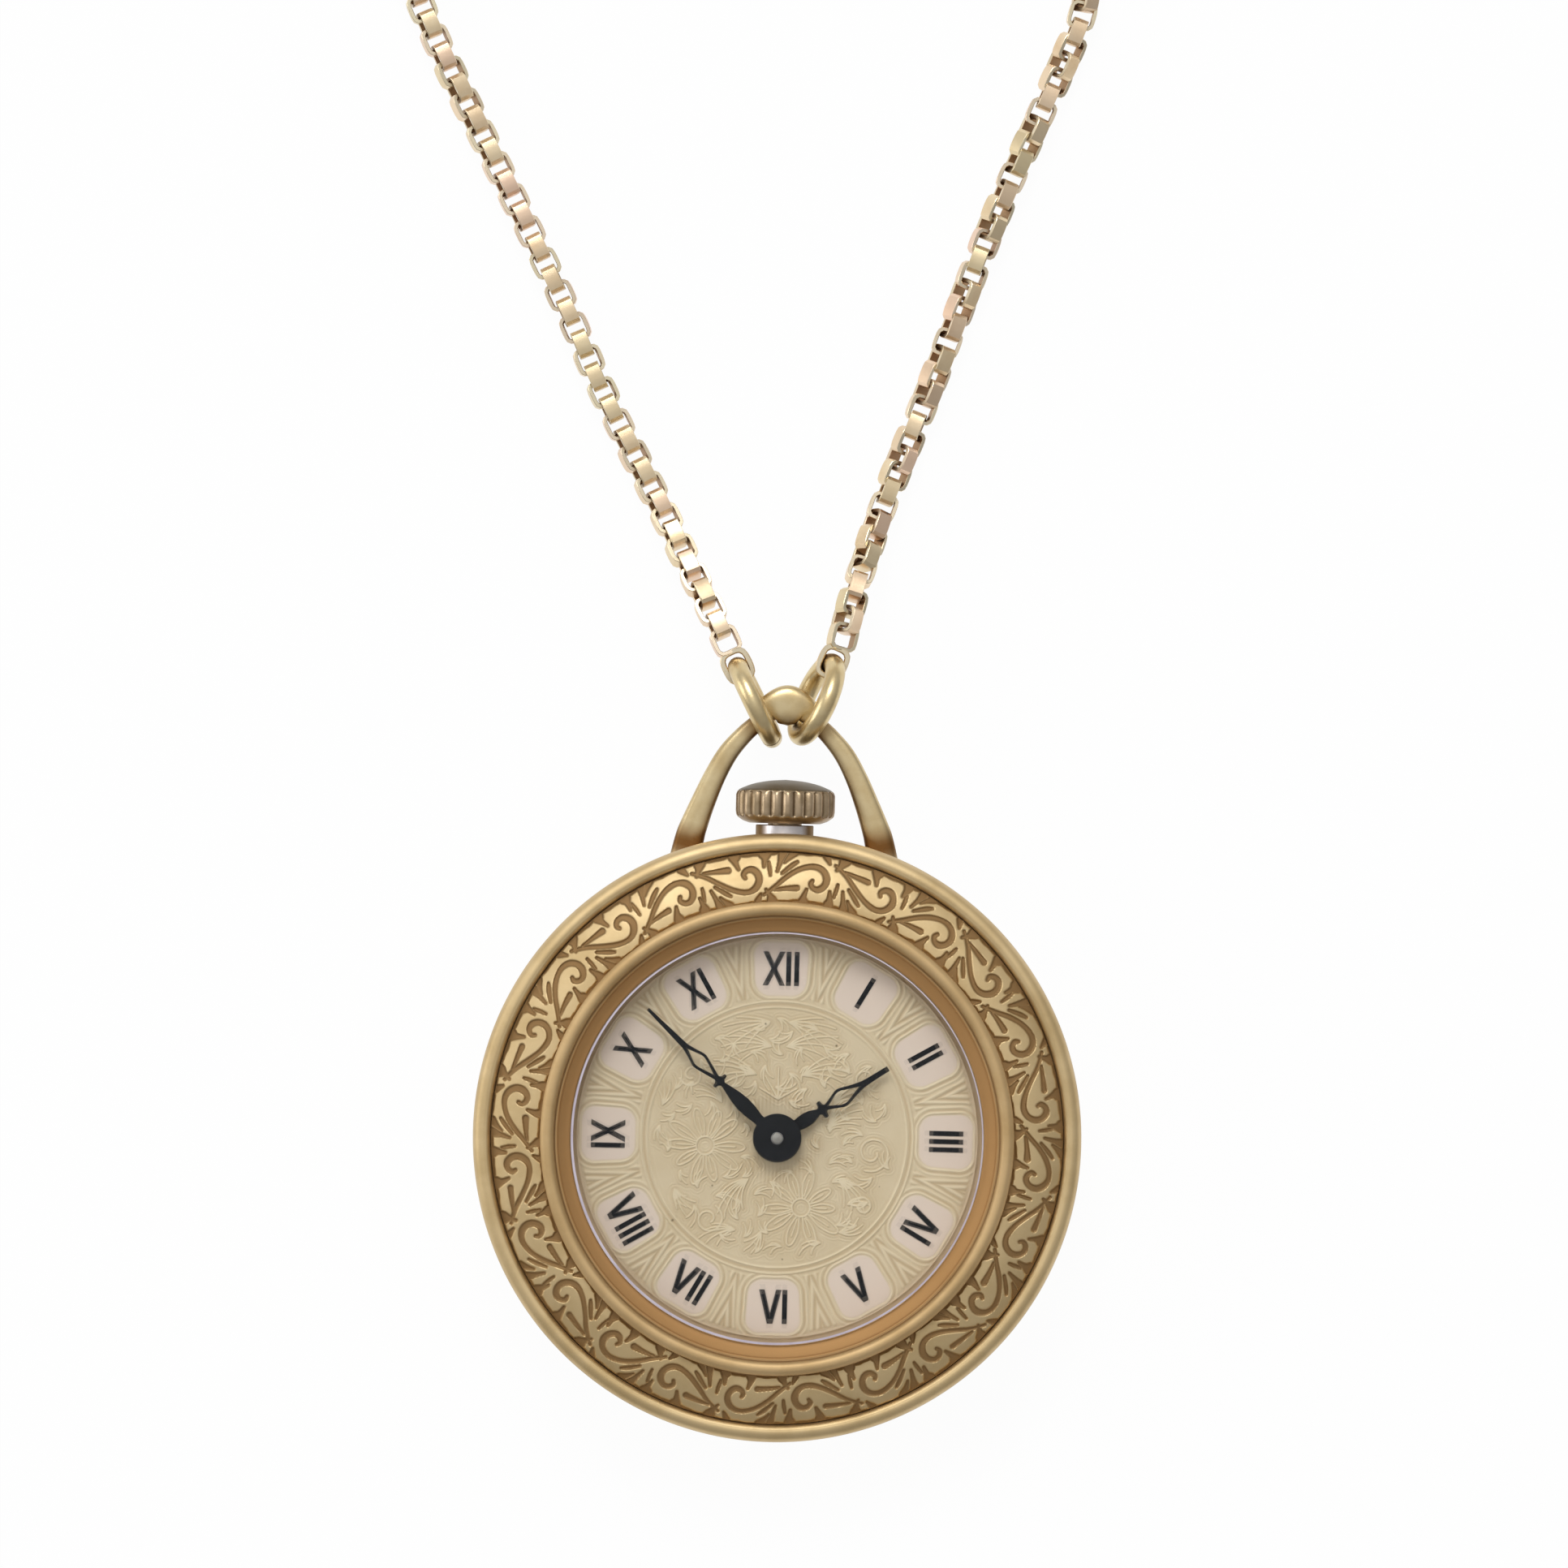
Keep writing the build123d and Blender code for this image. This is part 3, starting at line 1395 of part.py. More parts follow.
with BuildPart() as yoke:
    yoke_low = stem_height + sliding_pinion_radius + run_gap
    yoke_place = (-sliding_half * 2, stem_square_end + stem_radius * 2)
    yoke_nib = sliding_groove_start + sliding_groove_width / 2
    with BuildSketch(Plane.XY.offset(yoke_low)):
        with Locations(yoke_place):
            Circle(stem_radius)
        Polygon(
            (yoke_place[0] - stem_radius / 2, yoke_place[1]),
            (yoke_place[0] + stem_radius / 2, yoke_place[1]),
            (pivot_radius, yoke_nib + pivot_radius),
            (pivot_radius, yoke_nib - pivot_radius),
            (-sliding_half, yoke_nib - pivot_radius),
            align=None,
        )
    extrude(amount=wheel_thickness)
    with BuildSketch(Plane.XY.offset(stem_height + sliding_groove_radius + run_gap)):
        with Locations((0, yoke_nib)):
            Circle(yoke_pin_radius)
    extrude(amount=yoke_low - stem_height - sliding_groove_radius)
finish(yoke, "yoke")

# Motion work under the dial

motion_floor = recess_height + run_gap
hour_wheel_low = motion_floor + cannon_leaf_height + run_gap

with BuildPart() as cannon_pinion:
    with BuildSketch(Plane.XY.offset(motion_floor)):
        Polygon(*tooth_points(cannon_leaves, motion_module, top_angle), align=None)
    extrude(amount=cannon_leaf_height)
    with BuildSketch(Plane.XY.offset(motion_floor)):
        Circle(cannon_radius)
    extrude(amount=minute_hand_height - motion_floor)
    with BuildSketch(Plane.XY.offset(minute_hand_height)):
        Circle(cannon_neck_radius)
    extrude(amount=cannon_top - minute_hand_height)
    with BuildSketch(Plane.XY.offset(motion_floor - overrun)):
        Circle(centre_arbor_radius + fit_gap)
    extrude(amount=cannon_top - motion_floor + overrun * 2, mode=Mode.SUBTRACT)
finish(cannon_pinion, "cannon_pinion")

with BuildPart() as minute_wheel:
    with BuildSketch(Plane.XY.offset(motion_floor)):
        with Locations(minute_place):
            phase = pinion_phase(top_angle, minute_teeth)
            Polygon(*tooth_points(minute_teeth, motion_module, phase), align=None)
    extrude(amount=wheel_thickness)
    with BuildSketch(Plane.XY.offset(motion_floor + wheel_thickness)):
        with Locations(minute_place):
            Polygon(*tooth_points(minute_leaves, motion_module, -top_angle), align=None)
    extrude(amount=plate_top - run_gap - motion_floor - wheel_thickness)
    with BuildSketch(Plane.XY.offset(motion_floor - overrun)):
        with Locations(minute_place):
            Circle(pivot_radius + run_gap)
    extrude(amount=plate_top - motion_floor + overrun * 2, mode=Mode.SUBTRACT)
finish(minute_wheel, "minute_wheel")

with BuildPart() as setting_wheel:
    with BuildSketch(Plane.XY.offset(motion_floor)):
        with Locations(setting_place):
            phase = pinion_phase(top_angle, setting_teeth)
            Polygon(*tooth_points(setting_teeth, motion_module, phase), align=None)
            Circle(pivot_radius + run_gap, mode=Mode.SUBTRACT)
    extrude(amount=wheel_thickness)
finish(setting_wheel, "setting_wheel")

with BuildPart() as hour_wheel:
    hour_phase = pinion_phase(-top_angle, hour_teeth)
    with BuildSketch(Plane.XY.offset(hour_wheel_low)):
        Polygon(*tooth_points(hour_teeth, motion_module, hour_phase), align=None)
    extrude(amount=plate_top - run_gap - hour_wheel_low)
    with BuildSketch(Plane.XY.offset(hour_wheel_low)):
        Circle(hour_pipe_radius)
    extrude(amount=hour_hand_height + hand_thickness - hour_wheel_low)
    with BuildSketch(Plane.XY.offset(hour_wheel_low - overrun)):
        Circle(cannon_radius + run_gap)
    extrude(amount=minute_hand_height - hour_wheel_low + overrun * 2, mode=Mode.SUBTRACT)
finish(hour_wheel, "hour_wheel")

# Dial and hands

with BuildPart() as dial:
    with BuildSketch(Plane.XY.offset(dial_bottom_height)):
        Circle(dial_radius)
        Circle(dial_hole_radius, mode=Mode.SUBTRACT)
    extrude(amount=dial_thickness - relief_height)
    with BuildSketch(Plane.XY.offset(dial_top - relief_height)):
        Circle(chapter_radius + chapter_line_width / 2)
        Circle(chapter_radius - chapter_line_width / 2, mode=Mode.SUBTRACT)
        with PolarLocations(cartouche_radius, hours, start_angle=top_angle):
            RectangleRounded(cartouche_height, cartouche_width, cartouche_corner)
    extrude(amount=relief_height)
    with BuildSketch(Plane.XY.offset(dial_bottom_height - dial_foot_length)):
        with Locations(*[polar(dial_foot_place_radius, angle) for angle in dial_foot_angles]):
            Circle(dial_foot_radius)
    extrude(amount=dial_foot_length)
finish(dial, "dial")


def hand_outline(
    boss_hole, leaf_wide, leaf_width, knot, loop_wide, loop_width, loop_end, tip, tip_width
):
    """A hand along +X: boss, leaf, cross knot, open loop and needle."""
    half_neck = hand_neck_width / 2
    Circle(boss_radius)
    Polygon(
        (hand_root_radius, hand_neck_width),
        (leaf_wide, leaf_width / 2),
        (knot, half_neck),
        (knot, -half_neck),
        (leaf_wide, -leaf_width / 2),
        (hand_root_radius, -hand_neck_width),
        align=None,
    )
    Polygon(
        (knot, half_neck),
        (loop_wide, loop_width / 2),
        (loop_end, tip_width / 2),
        (tip, tip_width / 2),
        (tip, -tip_width / 2),
        (loop_end, -tip_width / 2),
        (loop_wide, -loop_width / 2),
        (knot, -half_neck),
        align=None,
    )
    Polygon(
        (knot + hand_knot_length, 0),
        (loop_wide, loop_width / 2 - hand_loop_line),
        (loop_end - hand_loop_line * 2, 0),
        (loop_wide, hand_loop_line - loop_width / 2),
        align=None,
        mode=Mode.SUBTRACT,
    )
    with Locations((knot, 0)):
        Rectangle(hand_knot_length, hand_knot_width)
        Rectangle(hand_knot_bar_length, hand_knot_width / 2)
    Circle(boss_hole, mode=Mode.SUBTRACT)


minute_plane = Plane.XY.offset(minute_hand_height).rotated((0, 0, minute_hand_angle))
with BuildPart() as minute_hand:
    with BuildSketch(minute_plane):
        hand_outline(
            cannon_neck_radius,
            minute_leaf_wide,
            minute_leaf_width,
            minute_knot,
            minute_loop_wide,
            minute_loop_width,
            minute_loop_end,
            minute_tip,
            minute_tip_width,
        )
    extrude(amount=hand_thickness)
finish(minute_hand, "minute_hand")

hour_plane = Plane.XY.offset(hour_hand_height).rotated((0, 0, hour_hand_angle))
with BuildPart() as hour_hand:
    with BuildSketch(hour_plane):
        hand_outline(
            hour_pipe_radius,
            hour_leaf_wide,
            hour_leaf_width,
            hour_knot,
            hour_loop_wide,
            hour_loop_width,
            hour_loop_end,
            hour_tip,
            hour_tip_width,
        )
    extrude(amount=hand_thickness)
finish(hour_hand, "hour_hand")

# Jump rings and the end links of the chain


def jump_ring(place, lean):
    """A wire ring that stands upright in the plane of its lean."""
    turn = Location((place[0], place[1], stem_height), (0, 0, lean))
    wire = Torus(jump_major_radius, jump_wire_radius, mode=Mode.PRIVATE)
    return turn * Rot(0, quarter_turn, 0) * wire


def ring_far_end(place, lean, distance):
    turn = math.radians(lean)
    return (place[0] - distance * math.sin(turn), place[1] + distance * math.cos(turn))


rings = ((jump_left_place, jump_left_lean), (jump_right_place, jump_right_lean))
link_offset = link_major_radius - link_wire_radius - jump_wire_radius

with BuildPart() as jump_rings:
    for place, lean in rings:
        add(jump_ring(place, lean))
finish(jump_rings, "jump_rings")

with BuildPart() as end_links:
    for place, lean in rings:
        far = ring_far_end(place, lean, jump_major_radius + link_offset / 2)
        wire = Torus(link_major_radius, link_wire_radius, mode=Mode.PRIVATE)
        add(Pos(far[0], far[1], stem_height) * wire)
finish(end_links, "end_links")

# Chain: the two visible stretches and the two coils of the rest


def bend_radii(points):
    """The largest tangent arc that the two runs of each corner allow."""
    radii = []
    for before, corner, after in zip(points, points[1:], points[2:]):
        first = Vector(*corner) - Vector(*before)
        second = Vector(*after) - Vector(*corner)
        half_bend = math.radians(first.get_angle(second)) / 2
        shorter = min(first.length, second.length)
        radii.append(chain_run_share * shorter / math.tan(half_bend))
    return radii


coil_step = (chain_diameter + coil_gap) * 2
left_arm_radius = coil_outer_radius
right_arm_radius = coil_outer_radius - coil_step / 4
right_arm_centre = (coil_centre[0] + coil_step / 4, coil_centre[1])
left_coil_start = (coil_centre[0] - left_arm_radius, coil_centre[1])
right_coil_start = (right_arm_centre[0], coil_centre[1] - right_arm_radius)
link_reach = jump_major_radius + link_offset / 2 + link_major_radius + link_wire_radius

chain_sides = (
    (
        "left",
        rings[0],
        left_route,
        (left_coil_start[0], left_coil_start[1] - chain_lead, chain_floor),
        (0, -left_last_run, 0),
    ),
    (
        "right",
        rings[1],
        right_route,
        (right_coil_start[0] + chain_lead, right_coil_start[1], chain_floor),
        (right_last_run, 0, 0),
    ),
)
for side, ring, route, coil_end, last_run in chain_sides:
    start = ring_far_end(*ring, link_reach + fit_gap)
    last = Vector(*coil_end) + Vector(*last_run)
    bends = [(x, case_radius + rise, height) for x, rise, height in route]
    points = [(start[0], start[1], stem_height)] + bends + [tuple(last), coil_end]
    radii = bend_radii(points)
    with BuildPart() as strand:
        with BuildLine() as strand_line:
            FilletPolyline(*points, radius=radii)
        strand_path = strand_line.wire()
        strand_length = strand_path.length
        with BuildSketch(Plane(strand_path @ 0, z_dir=strand_path % 0)):
            Circle(chain_diameter / 2)
        sweep()
    print("chain", side, "length", round(strand_length, 2), "radii", [round(r, 1) for r in radii])
    section = math.pi * chain_diameter**2 / 4
    print("volume share", round(strand.part.volume / (section * strand_length), 4))
    finish(strand, "chain_" + side)

coils = (
    ("left", left_coil_start, (0, -chain_lead), coil_centre, half_turn, left_arm_radius),
    ("right", right_coil_start, (chain_lead, 0), right_arm_centre, -quarter_turn, right_arm_radius),
)
coil_ends = {}
coil_samples = {}
for side, coil_start, lead, centre, start_angle, radius in coils:
    with BuildPart() as coil:
        with BuildLine(Plane.XY.offset(chain_floor)) as coil_line:
            entry = (coil_start[0] + lead[0], coil_start[1] + lead[1])
            Line(entry, coil_start)
            arcs = spiral_arcs(centre, start_angle, radius, coil_step, coil_quarter_count)
            last = arcs[-1]
            tail = last @ 1 + (last % 1) * chain_lead
            Line(last @ 1, tail)
        coil_path = coil_line.wire()
        coil_length = coil_path.length
        with BuildSketch(Plane(coil_path @ 0, z_dir=coil_path % 0)):
            Circle(chain_diameter / 2)
        sweep()
    coil_ends[side] = (coil_path @ 1, coil_path % 1)
    samples = int(coil_length / coil_gap)
    coil_samples[side] = [coil_path @ (here / samples) for here in range(samples + 1)]
    print("coil", side, "length", round(coil_length, 2))
    finish(coil, "coil_" + side)

spacing = []
for here, first in enumerate(coil_samples["left"]):
    for there, second in enumerate(coil_samples["left"]):
        if there - here > coil_step * 3 / coil_gap:
            spacing.append((first - second).length)
    for second in coil_samples["right"]:
        spacing.append((first - second).length)
print("least gap of the coils", round(min(spacing) - chain_diameter, 3))

# Clasp in the eye of the coil, between the two ends of the chain


def torus_arc(centre, major, minor, start, size):
    turn = Location((centre[0], centre[1], chain_floor), (0, 0, start))
    return turn * Torus(major, minor, major_angle=size, align=None, mode=Mode.PRIVATE)


left_end, left_way = coil_ends["left"]
right_end, right_way = coil_ends["right"]
small_reach = small_ring_major + small_ring_wire
left_ring_place = left_end + left_way * (small_ring_wire + run_gap) + Vector(0, small_ring_major)
right_ring_place = right_end + right_way * (small_reach + run_gap) - Vector(small_ring_major)
lug_place = left_ring_place + Vector(0, small_ring_major)
lug_distance = clasp_major_radius + clasp_tube_radius + clasp_lug_major - clasp_lug_wire / 2
lean = math.radians(clasp_lean)
clasp_place = lug_place + Vector(math.cos(lean), math.sin(lean)) * lug_distance
tag_line = right_ring_place - clasp_place
tag_way = tag_line.normalized()
tag_hook = clasp_place + tag_way * clasp_major_radius
tag_eye = right_ring_place - tag_way * small_ring_major
tag_spacing = (tag_eye - tag_hook).length
clasp_centre = (clasp_place.X, clasp_place.Y)
mouth_end = clasp_mouth_start + clasp_mouth_angle
bolt_start = clasp_mouth_start - clasp_seat_angle
bolt_size = clasp_seat_angle + clasp_mouth_angle + clasp_bolt_angle
channel_start = bolt_start - clasp_seat_angle / 4
channel_size = bolt_size + clasp_travel_angle + clasp_seat_angle
knob_angle = mouth_end + clasp_knob_angle
knob_slack = math.degrees((clasp_knob_radius + run_gap * 2) / clasp_major_radius)

with BuildPart() as clasp_ring:
    ring_size = full_turn - clasp_mouth_angle
    add(torus_arc(clasp_centre, clasp_major_radius, clasp_tube_radius, mouth_end, ring_size))
    add(torus_arc((lug_place.X, lug_place.Y), clasp_lug_major, clasp_lug_wire, 0.0, full_turn))
    bore = torus_arc(
        clasp_centre,
        clasp_major_radius,
        clasp_bolt_radius + run_gap,
        channel_start,
        channel_size,
    )
    add(bore, mode=Mode.SUBTRACT)
    slot_start = knob_angle - knob_slack
    slot_size = clasp_travel_angle + knob_slack * 2
    with BuildSketch(Plane.XY.offset(chain_floor - clasp_knob_radius - run_gap)):
        with BuildLine():
            inner_arc = CenterArc(clasp_centre, clasp_major_radius, slot_start, slot_size)
            outer_slot = clasp_major_radius + clasp_tube_radius + run_gap
            outer_arc = CenterArc(clasp_centre, outer_slot, slot_start, slot_size)
            Line(inner_arc @ 0, outer_arc @ 0)
            Line(inner_arc @ 1, outer_arc @ 1)
        make_face()
    extrude(amount=(clasp_knob_radius + run_gap) * 2, mode=Mode.SUBTRACT)
finish(clasp_ring, "clasp_ring")

with BuildPart() as clasp_bolt:
    add(torus_arc(clasp_centre, clasp_major_radius, clasp_bolt_radius, bolt_start, bolt_size))
    knob_foot = polar(clasp_major_radius, knob_angle, clasp_centre)
    knob_turn = math.radians(knob_angle)
    knob_plane = Plane(
        origin=(knob_foot[0], knob_foot[1], chain_floor),
        z_dir=(math.cos(knob_turn), math.sin(knob_turn), 0),
    )
    with BuildSketch(knob_plane):
        Circle(clasp_knob_radius)
    extrude(amount=clasp_tube_radius + clasp_knob_height)
finish(clasp_bolt, "clasp_bolt")

with BuildPart() as clasp_tag:
    tag_middle = (tag_hook + tag_eye) / 2
    tag_plane = Plane(
        origin=(tag_middle.X, tag_middle.Y, chain_floor),
        x_dir=(tag_way.X, tag_way.Y, 0),
        z_dir=(-tag_way.Y, tag_way.X, 0),
    )
    with BuildSketch(tag_plane):
        SlotCenterToCenter(tag_spacing, tag_height)
        with Locations((-tag_spacing / 2, 0)):
            Circle(clasp_tube_radius + run_gap, mode=Mode.SUBTRACT)
        with Locations((tag_spacing / 2, 0)):
            Circle(small_ring_wire + run_gap, mode=Mode.SUBTRACT)
    extrude(amount=tag_thickness / 2, both=True)
finish(clasp_tag, "clasp_tag")

with BuildPart() as clasp_links:
    upright = Location((left_ring_place.X, left_ring_place.Y, chain_floor), (0, quarter_turn, 0))
    add(upright * Torus(small_ring_major, small_ring_wire, mode=Mode.PRIVATE))
    right_ring = (right_ring_place.X, right_ring_place.Y)
    add(torus_arc(right_ring, small_ring_major, small_ring_wire, 0.0, full_turn))
finish(clasp_links, "clasp_links")
print("clasp", clasp_place, "travel", clasp_travel_angle)
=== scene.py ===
import random
from math import asin, cos, hypot, pi, radians, sin, sqrt, tau

import bmesh
import bpy
import numpy as np
from mathutils import Matrix, Vector


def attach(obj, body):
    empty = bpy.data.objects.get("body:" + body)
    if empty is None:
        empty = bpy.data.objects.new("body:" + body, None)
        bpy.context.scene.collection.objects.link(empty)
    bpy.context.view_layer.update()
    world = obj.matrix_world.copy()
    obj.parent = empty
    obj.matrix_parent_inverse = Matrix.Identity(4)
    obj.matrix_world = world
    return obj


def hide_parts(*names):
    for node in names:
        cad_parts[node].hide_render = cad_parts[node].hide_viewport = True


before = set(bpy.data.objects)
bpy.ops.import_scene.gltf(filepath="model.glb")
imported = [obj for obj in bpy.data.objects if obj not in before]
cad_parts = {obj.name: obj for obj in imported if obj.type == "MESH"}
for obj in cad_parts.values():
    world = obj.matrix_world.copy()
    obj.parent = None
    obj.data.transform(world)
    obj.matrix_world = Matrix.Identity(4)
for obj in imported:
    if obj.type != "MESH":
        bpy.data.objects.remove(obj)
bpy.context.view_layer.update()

# Lengths are written in mm and turned to metres by this
mm = 0.001


scene = bpy.context.scene
rng = random.Random(11)


def linear(text):
    parts = [int(text[start:start + 2], 16) / 255 for start in (1, 3, 5)]
    curve = [c / 12.92 if c <= 0.04045 else ((c + 0.055) / 1.055) ** 2.4 for c in parts]
    return (*curve, 1.0)


def setInputs(tree, node, values):
    for name, value in values.items():
        if isinstance(value, bpy.types.NodeSocket):
            tree.links.new(value, node.inputs[name])
        else:
            node.inputs[name].default_value = value


def addNode(tree, kind, inputs=(), **settings):
    node = tree.nodes.new("ShaderNode" + kind)
    for name, value in settings.items():
        setattr(node, name, value)
    setInputs(tree, node, dict(inputs))
    return node


def addObject(name, data):
    thing = bpy.data.objects.new(name, data)
    scene.collection.objects.link(thing)
    return thing


# Camera: a long lens straight above the watch, turned by the small roll of the photo
cameraPlan = {
    "place": (-0.086, 17.45, 600.0), "roll": 1.4, "width": 77.3, "focus": 5.0,
    "sensor": 36.0, "near": 0.05, "far": 20.0,
}
cameraData = bpy.data.cameras.new("camera")
cameraData.sensor_width = cameraPlan["sensor"]
distance = cameraPlan["place"][2] - cameraPlan["focus"]
cameraData.lens = cameraPlan["sensor"] * distance / cameraPlan["width"]
cameraData.clip_start = cameraPlan["near"]
cameraData.clip_end = cameraPlan["far"]
camera = addObject("camera", cameraData)
camera.location = [value * mm for value in cameraPlan["place"]]
camera.rotation_euler = (0.0, 0.0, radians(cameraPlan["roll"]))
scene.camera = camera
scene.view_settings.view_transform = "Standard"
print("camera ready")

# Chain: box links along each side's control points and its half of the coil, in mm
chainPlan = {
    "pitch": 0.88, "halfWidth": 0.59, "halfLength": 0.61, "strip": 0.74, "thick": 0.2,
    "edge": 0.025, "square": 5.0, "start": 0.3, "height": 0.75, "coilStep": 4.44,
    "quarters": 11, "perQuarter": 6, "tail": 1.5, "slack": 0.4, "look": 0.4, "jitter": 5.0,
    # edge and recess are shares of painted highlight on the cut edges and painted shade on the
    # inner faces
    "tones": {"olive": 0.7, "rosy": 0.7, "edge": 0.6, "recess": 0.85},
}
splinePlan = {"order": 3, "resolution": 12}
chainSides = {
    "left": {
        "length": 0.2566,
        "turn": 8.0,
        "sway": (8.0, 0.23),
        "nodes": ("chain_left", "coil_left"),
        "clasp": ("clasp_ring", "clasp_bolt"),
        "centre": (-4.0, 77.0),
        "radius": 17.0,
        "start": 180.0,
        "route": (
            (-3.027, 24.212, 2.9), (-3.9, 25.95, 2.75), (-5.15, 28.3, 1.5), (-6.5, 31.0, 0.75),
            (-9.6, 36.67, 0.75), (-11.2, 40.4, 0.75), (-14.75, 47.2, 0.75), (-18.35, 54.0, 0.75),
            (-20.75, 59.6, 0.75), (-21.3, 65.0, 0.75), (-21.0, 70.5, 0.75), (-21.0, 75.5, 0.75),
        ),
    },
    "right": {
        "length": 0.2357,
        "turn": 22.0,
        "sway": (22.0, 1.3),
        "nodes": ("chain_right", "coil_right"),
        "clasp": ("clasp_tag", "clasp_links"),
        "centre": (-2.89, 77.0),
        "radius": 15.89,
        "start": 270.0,
        "route": (
            (2.596, 24.534, 2.9), (3.05, 26.6, 2.7), (3.75, 29.0, 1.45), (4.6, 31.8, 0.75),
            (6.8, 37.5, 0.75), (9.5, 45.5, 0.75), (12.35, 52.2, 0.75), (14.3, 57.0, 0.75),
            (13.45, 60.5, 0.75), (10.7, 62.75, 0.75), (7.0, 62.9, 0.75), (2.91, 61.11, 0.75),
            (-1.39, 61.11, 0.75),
        ),
    },
}


def coilPoints(side):
    plan = chainPlan
    points = []
    middle = Vector(side["centre"])
    radius = side["radius"]
    angle = radians(side["start"])
    step = pi / 2 / plan["perQuarter"]
    for quarter in range(plan["quarters"]):
        for part in range(plan["perQuarter"]):
            turn = angle - (part + 0.5) * step
            out = radius / cos(step / 2)
            points.append((middle.x + out * cos(turn), middle.y + out * sin(turn)))
        angle -= pi / 2
        way = Vector((cos(angle), sin(angle)))
        last = middle + way * radius
        middle = middle + way * plan["coilStep"] / 4
        radius -= plan["coilStep"] / 4
    tail = Vector((sin(angle), -cos(angle))) * plan["tail"]
    points += [last, last + tail]
    return [(x, y, plan["height"]) for x, y in points]


def readSpline(name, points):
    curve = bpy.data.curves.new(name, "CURVE")
    curve.dimensions = "3D"
    spline = curve.splines.new("NURBS")
    spline.points.add(len(points) - 1)
    for point, place in zip(spline.points, points):
        point.co = (*(value * mm for value in place), 1.0)
    spline.order_u = splinePlan["order"]
    spline.use_endpoint_u = True
    spline.resolution_u = splinePlan["resolution"]
    holder = addObject(name, curve)
    line = bpy.data.meshes.new_from_object(holder)
    places = np.array([vertex.co for vertex in line.vertices])
    bpy.data.objects.remove(holder)
    bpy.data.meshes.remove(line)
    return places


# Links are square loops of flat strip, each turned a quarter round from the last
linkSteps, linkSides = 24, 8


def squarePoint(turn, power):
    c, s = cos(turn), sin(turn)
    reach = (abs(c) ** power + abs(s) ** power) ** (-1 / power)
    return c * reach, s * reach


def linkLoop(plan):
    loop = [squarePoint(tau * (step + 0.5) / linkSteps, plan["square"])
            for step in range(linkSteps)]
    half, thick, edge = plan["strip"] / 2, plan["thick"] / 2, plan["edge"]
    section = [
        (thick, half - edge), (thick - edge, half), (edge - thick, half), (-thick, half - edge),
        (-thick, edge - half), (edge - thick, -half), (thick - edge, -half), (thick, edge - half),
    ]
    verts = []
    for along, across in loop:
        out = Vector((along, across)).normalized()
        for depth, side in section:
            verts.append((
                along * plan["halfLength"] + out.x * depth,
                across * plan["halfWidth"] + out.y * depth,
                side,
            ))
    return np.array(verts) * mm


def gridFaces(rows, columns, closeRows=False):
    rowCount = rows if closeRows else rows - 1
    row, column = np.meshgrid(np.arange(rowCount), np.arange(columns), indexing="ij")
    nextRow, nextColumn = (row + 1) % rows, (column + 1) % columns
    corners = [row * columns + column, row * columns + nextColumn,
               nextRow * columns + nextColumn, nextRow * columns + column]
    return np.stack(corners, axis=-1).reshape(-1, 4)


# Faces of a tube with closed ends
def tubeFaces(rows, around, first=0):
    faces = [tuple(face + first) for face in gridFaces(rows, around)]
    last = first + (rows - 1) * around
    return faces + [tuple(range(first, first + around)), tuple(range(last, last + around))]


def makePiece(name, verts, faces, material, body, nodes=(), sharp=35.0, values=None):
    mesh = bpy.data.meshes.new(name)
    mesh.from_pydata(np.asarray(verts).tolist(), [], [list(face) for face in faces])
    work = bmesh.new()
    work.from_mesh(mesh)
    bmesh.ops.recalc_face_normals(work, faces=work.faces)
    work.to_mesh(mesh)
    work.free()
    for key, data in (values or {}).items():
        mesh.attributes.new(key, "FLOAT", "POINT").data.foreach_set("value", np.ravel(data))
    mesh.shade_smooth()
    mesh.set_sharp_from_angle(angle=radians(sharp))
    mesh.materials.append(materials[material])
    piece = addObject(name, mesh)
    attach(piece, body)
    if nodes:
        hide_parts(*nodes)
    return piece


# One surface: two tones mottled by a cloud, tints where the mesh says so, and fine grain.
# Mix nodes repeat their socket names, so those sockets go by number.
surfacePlan = {
    "noise": {"Detail": 5.0, "Roughness": 0.6},
    "spread": {"From Min": 0.4, "From Max": 0.75},
    "grain": 0.05, "grainNoise": {"Detail": 3.0}, "bump": 0.2, "bumpDepth": 0.15,
}


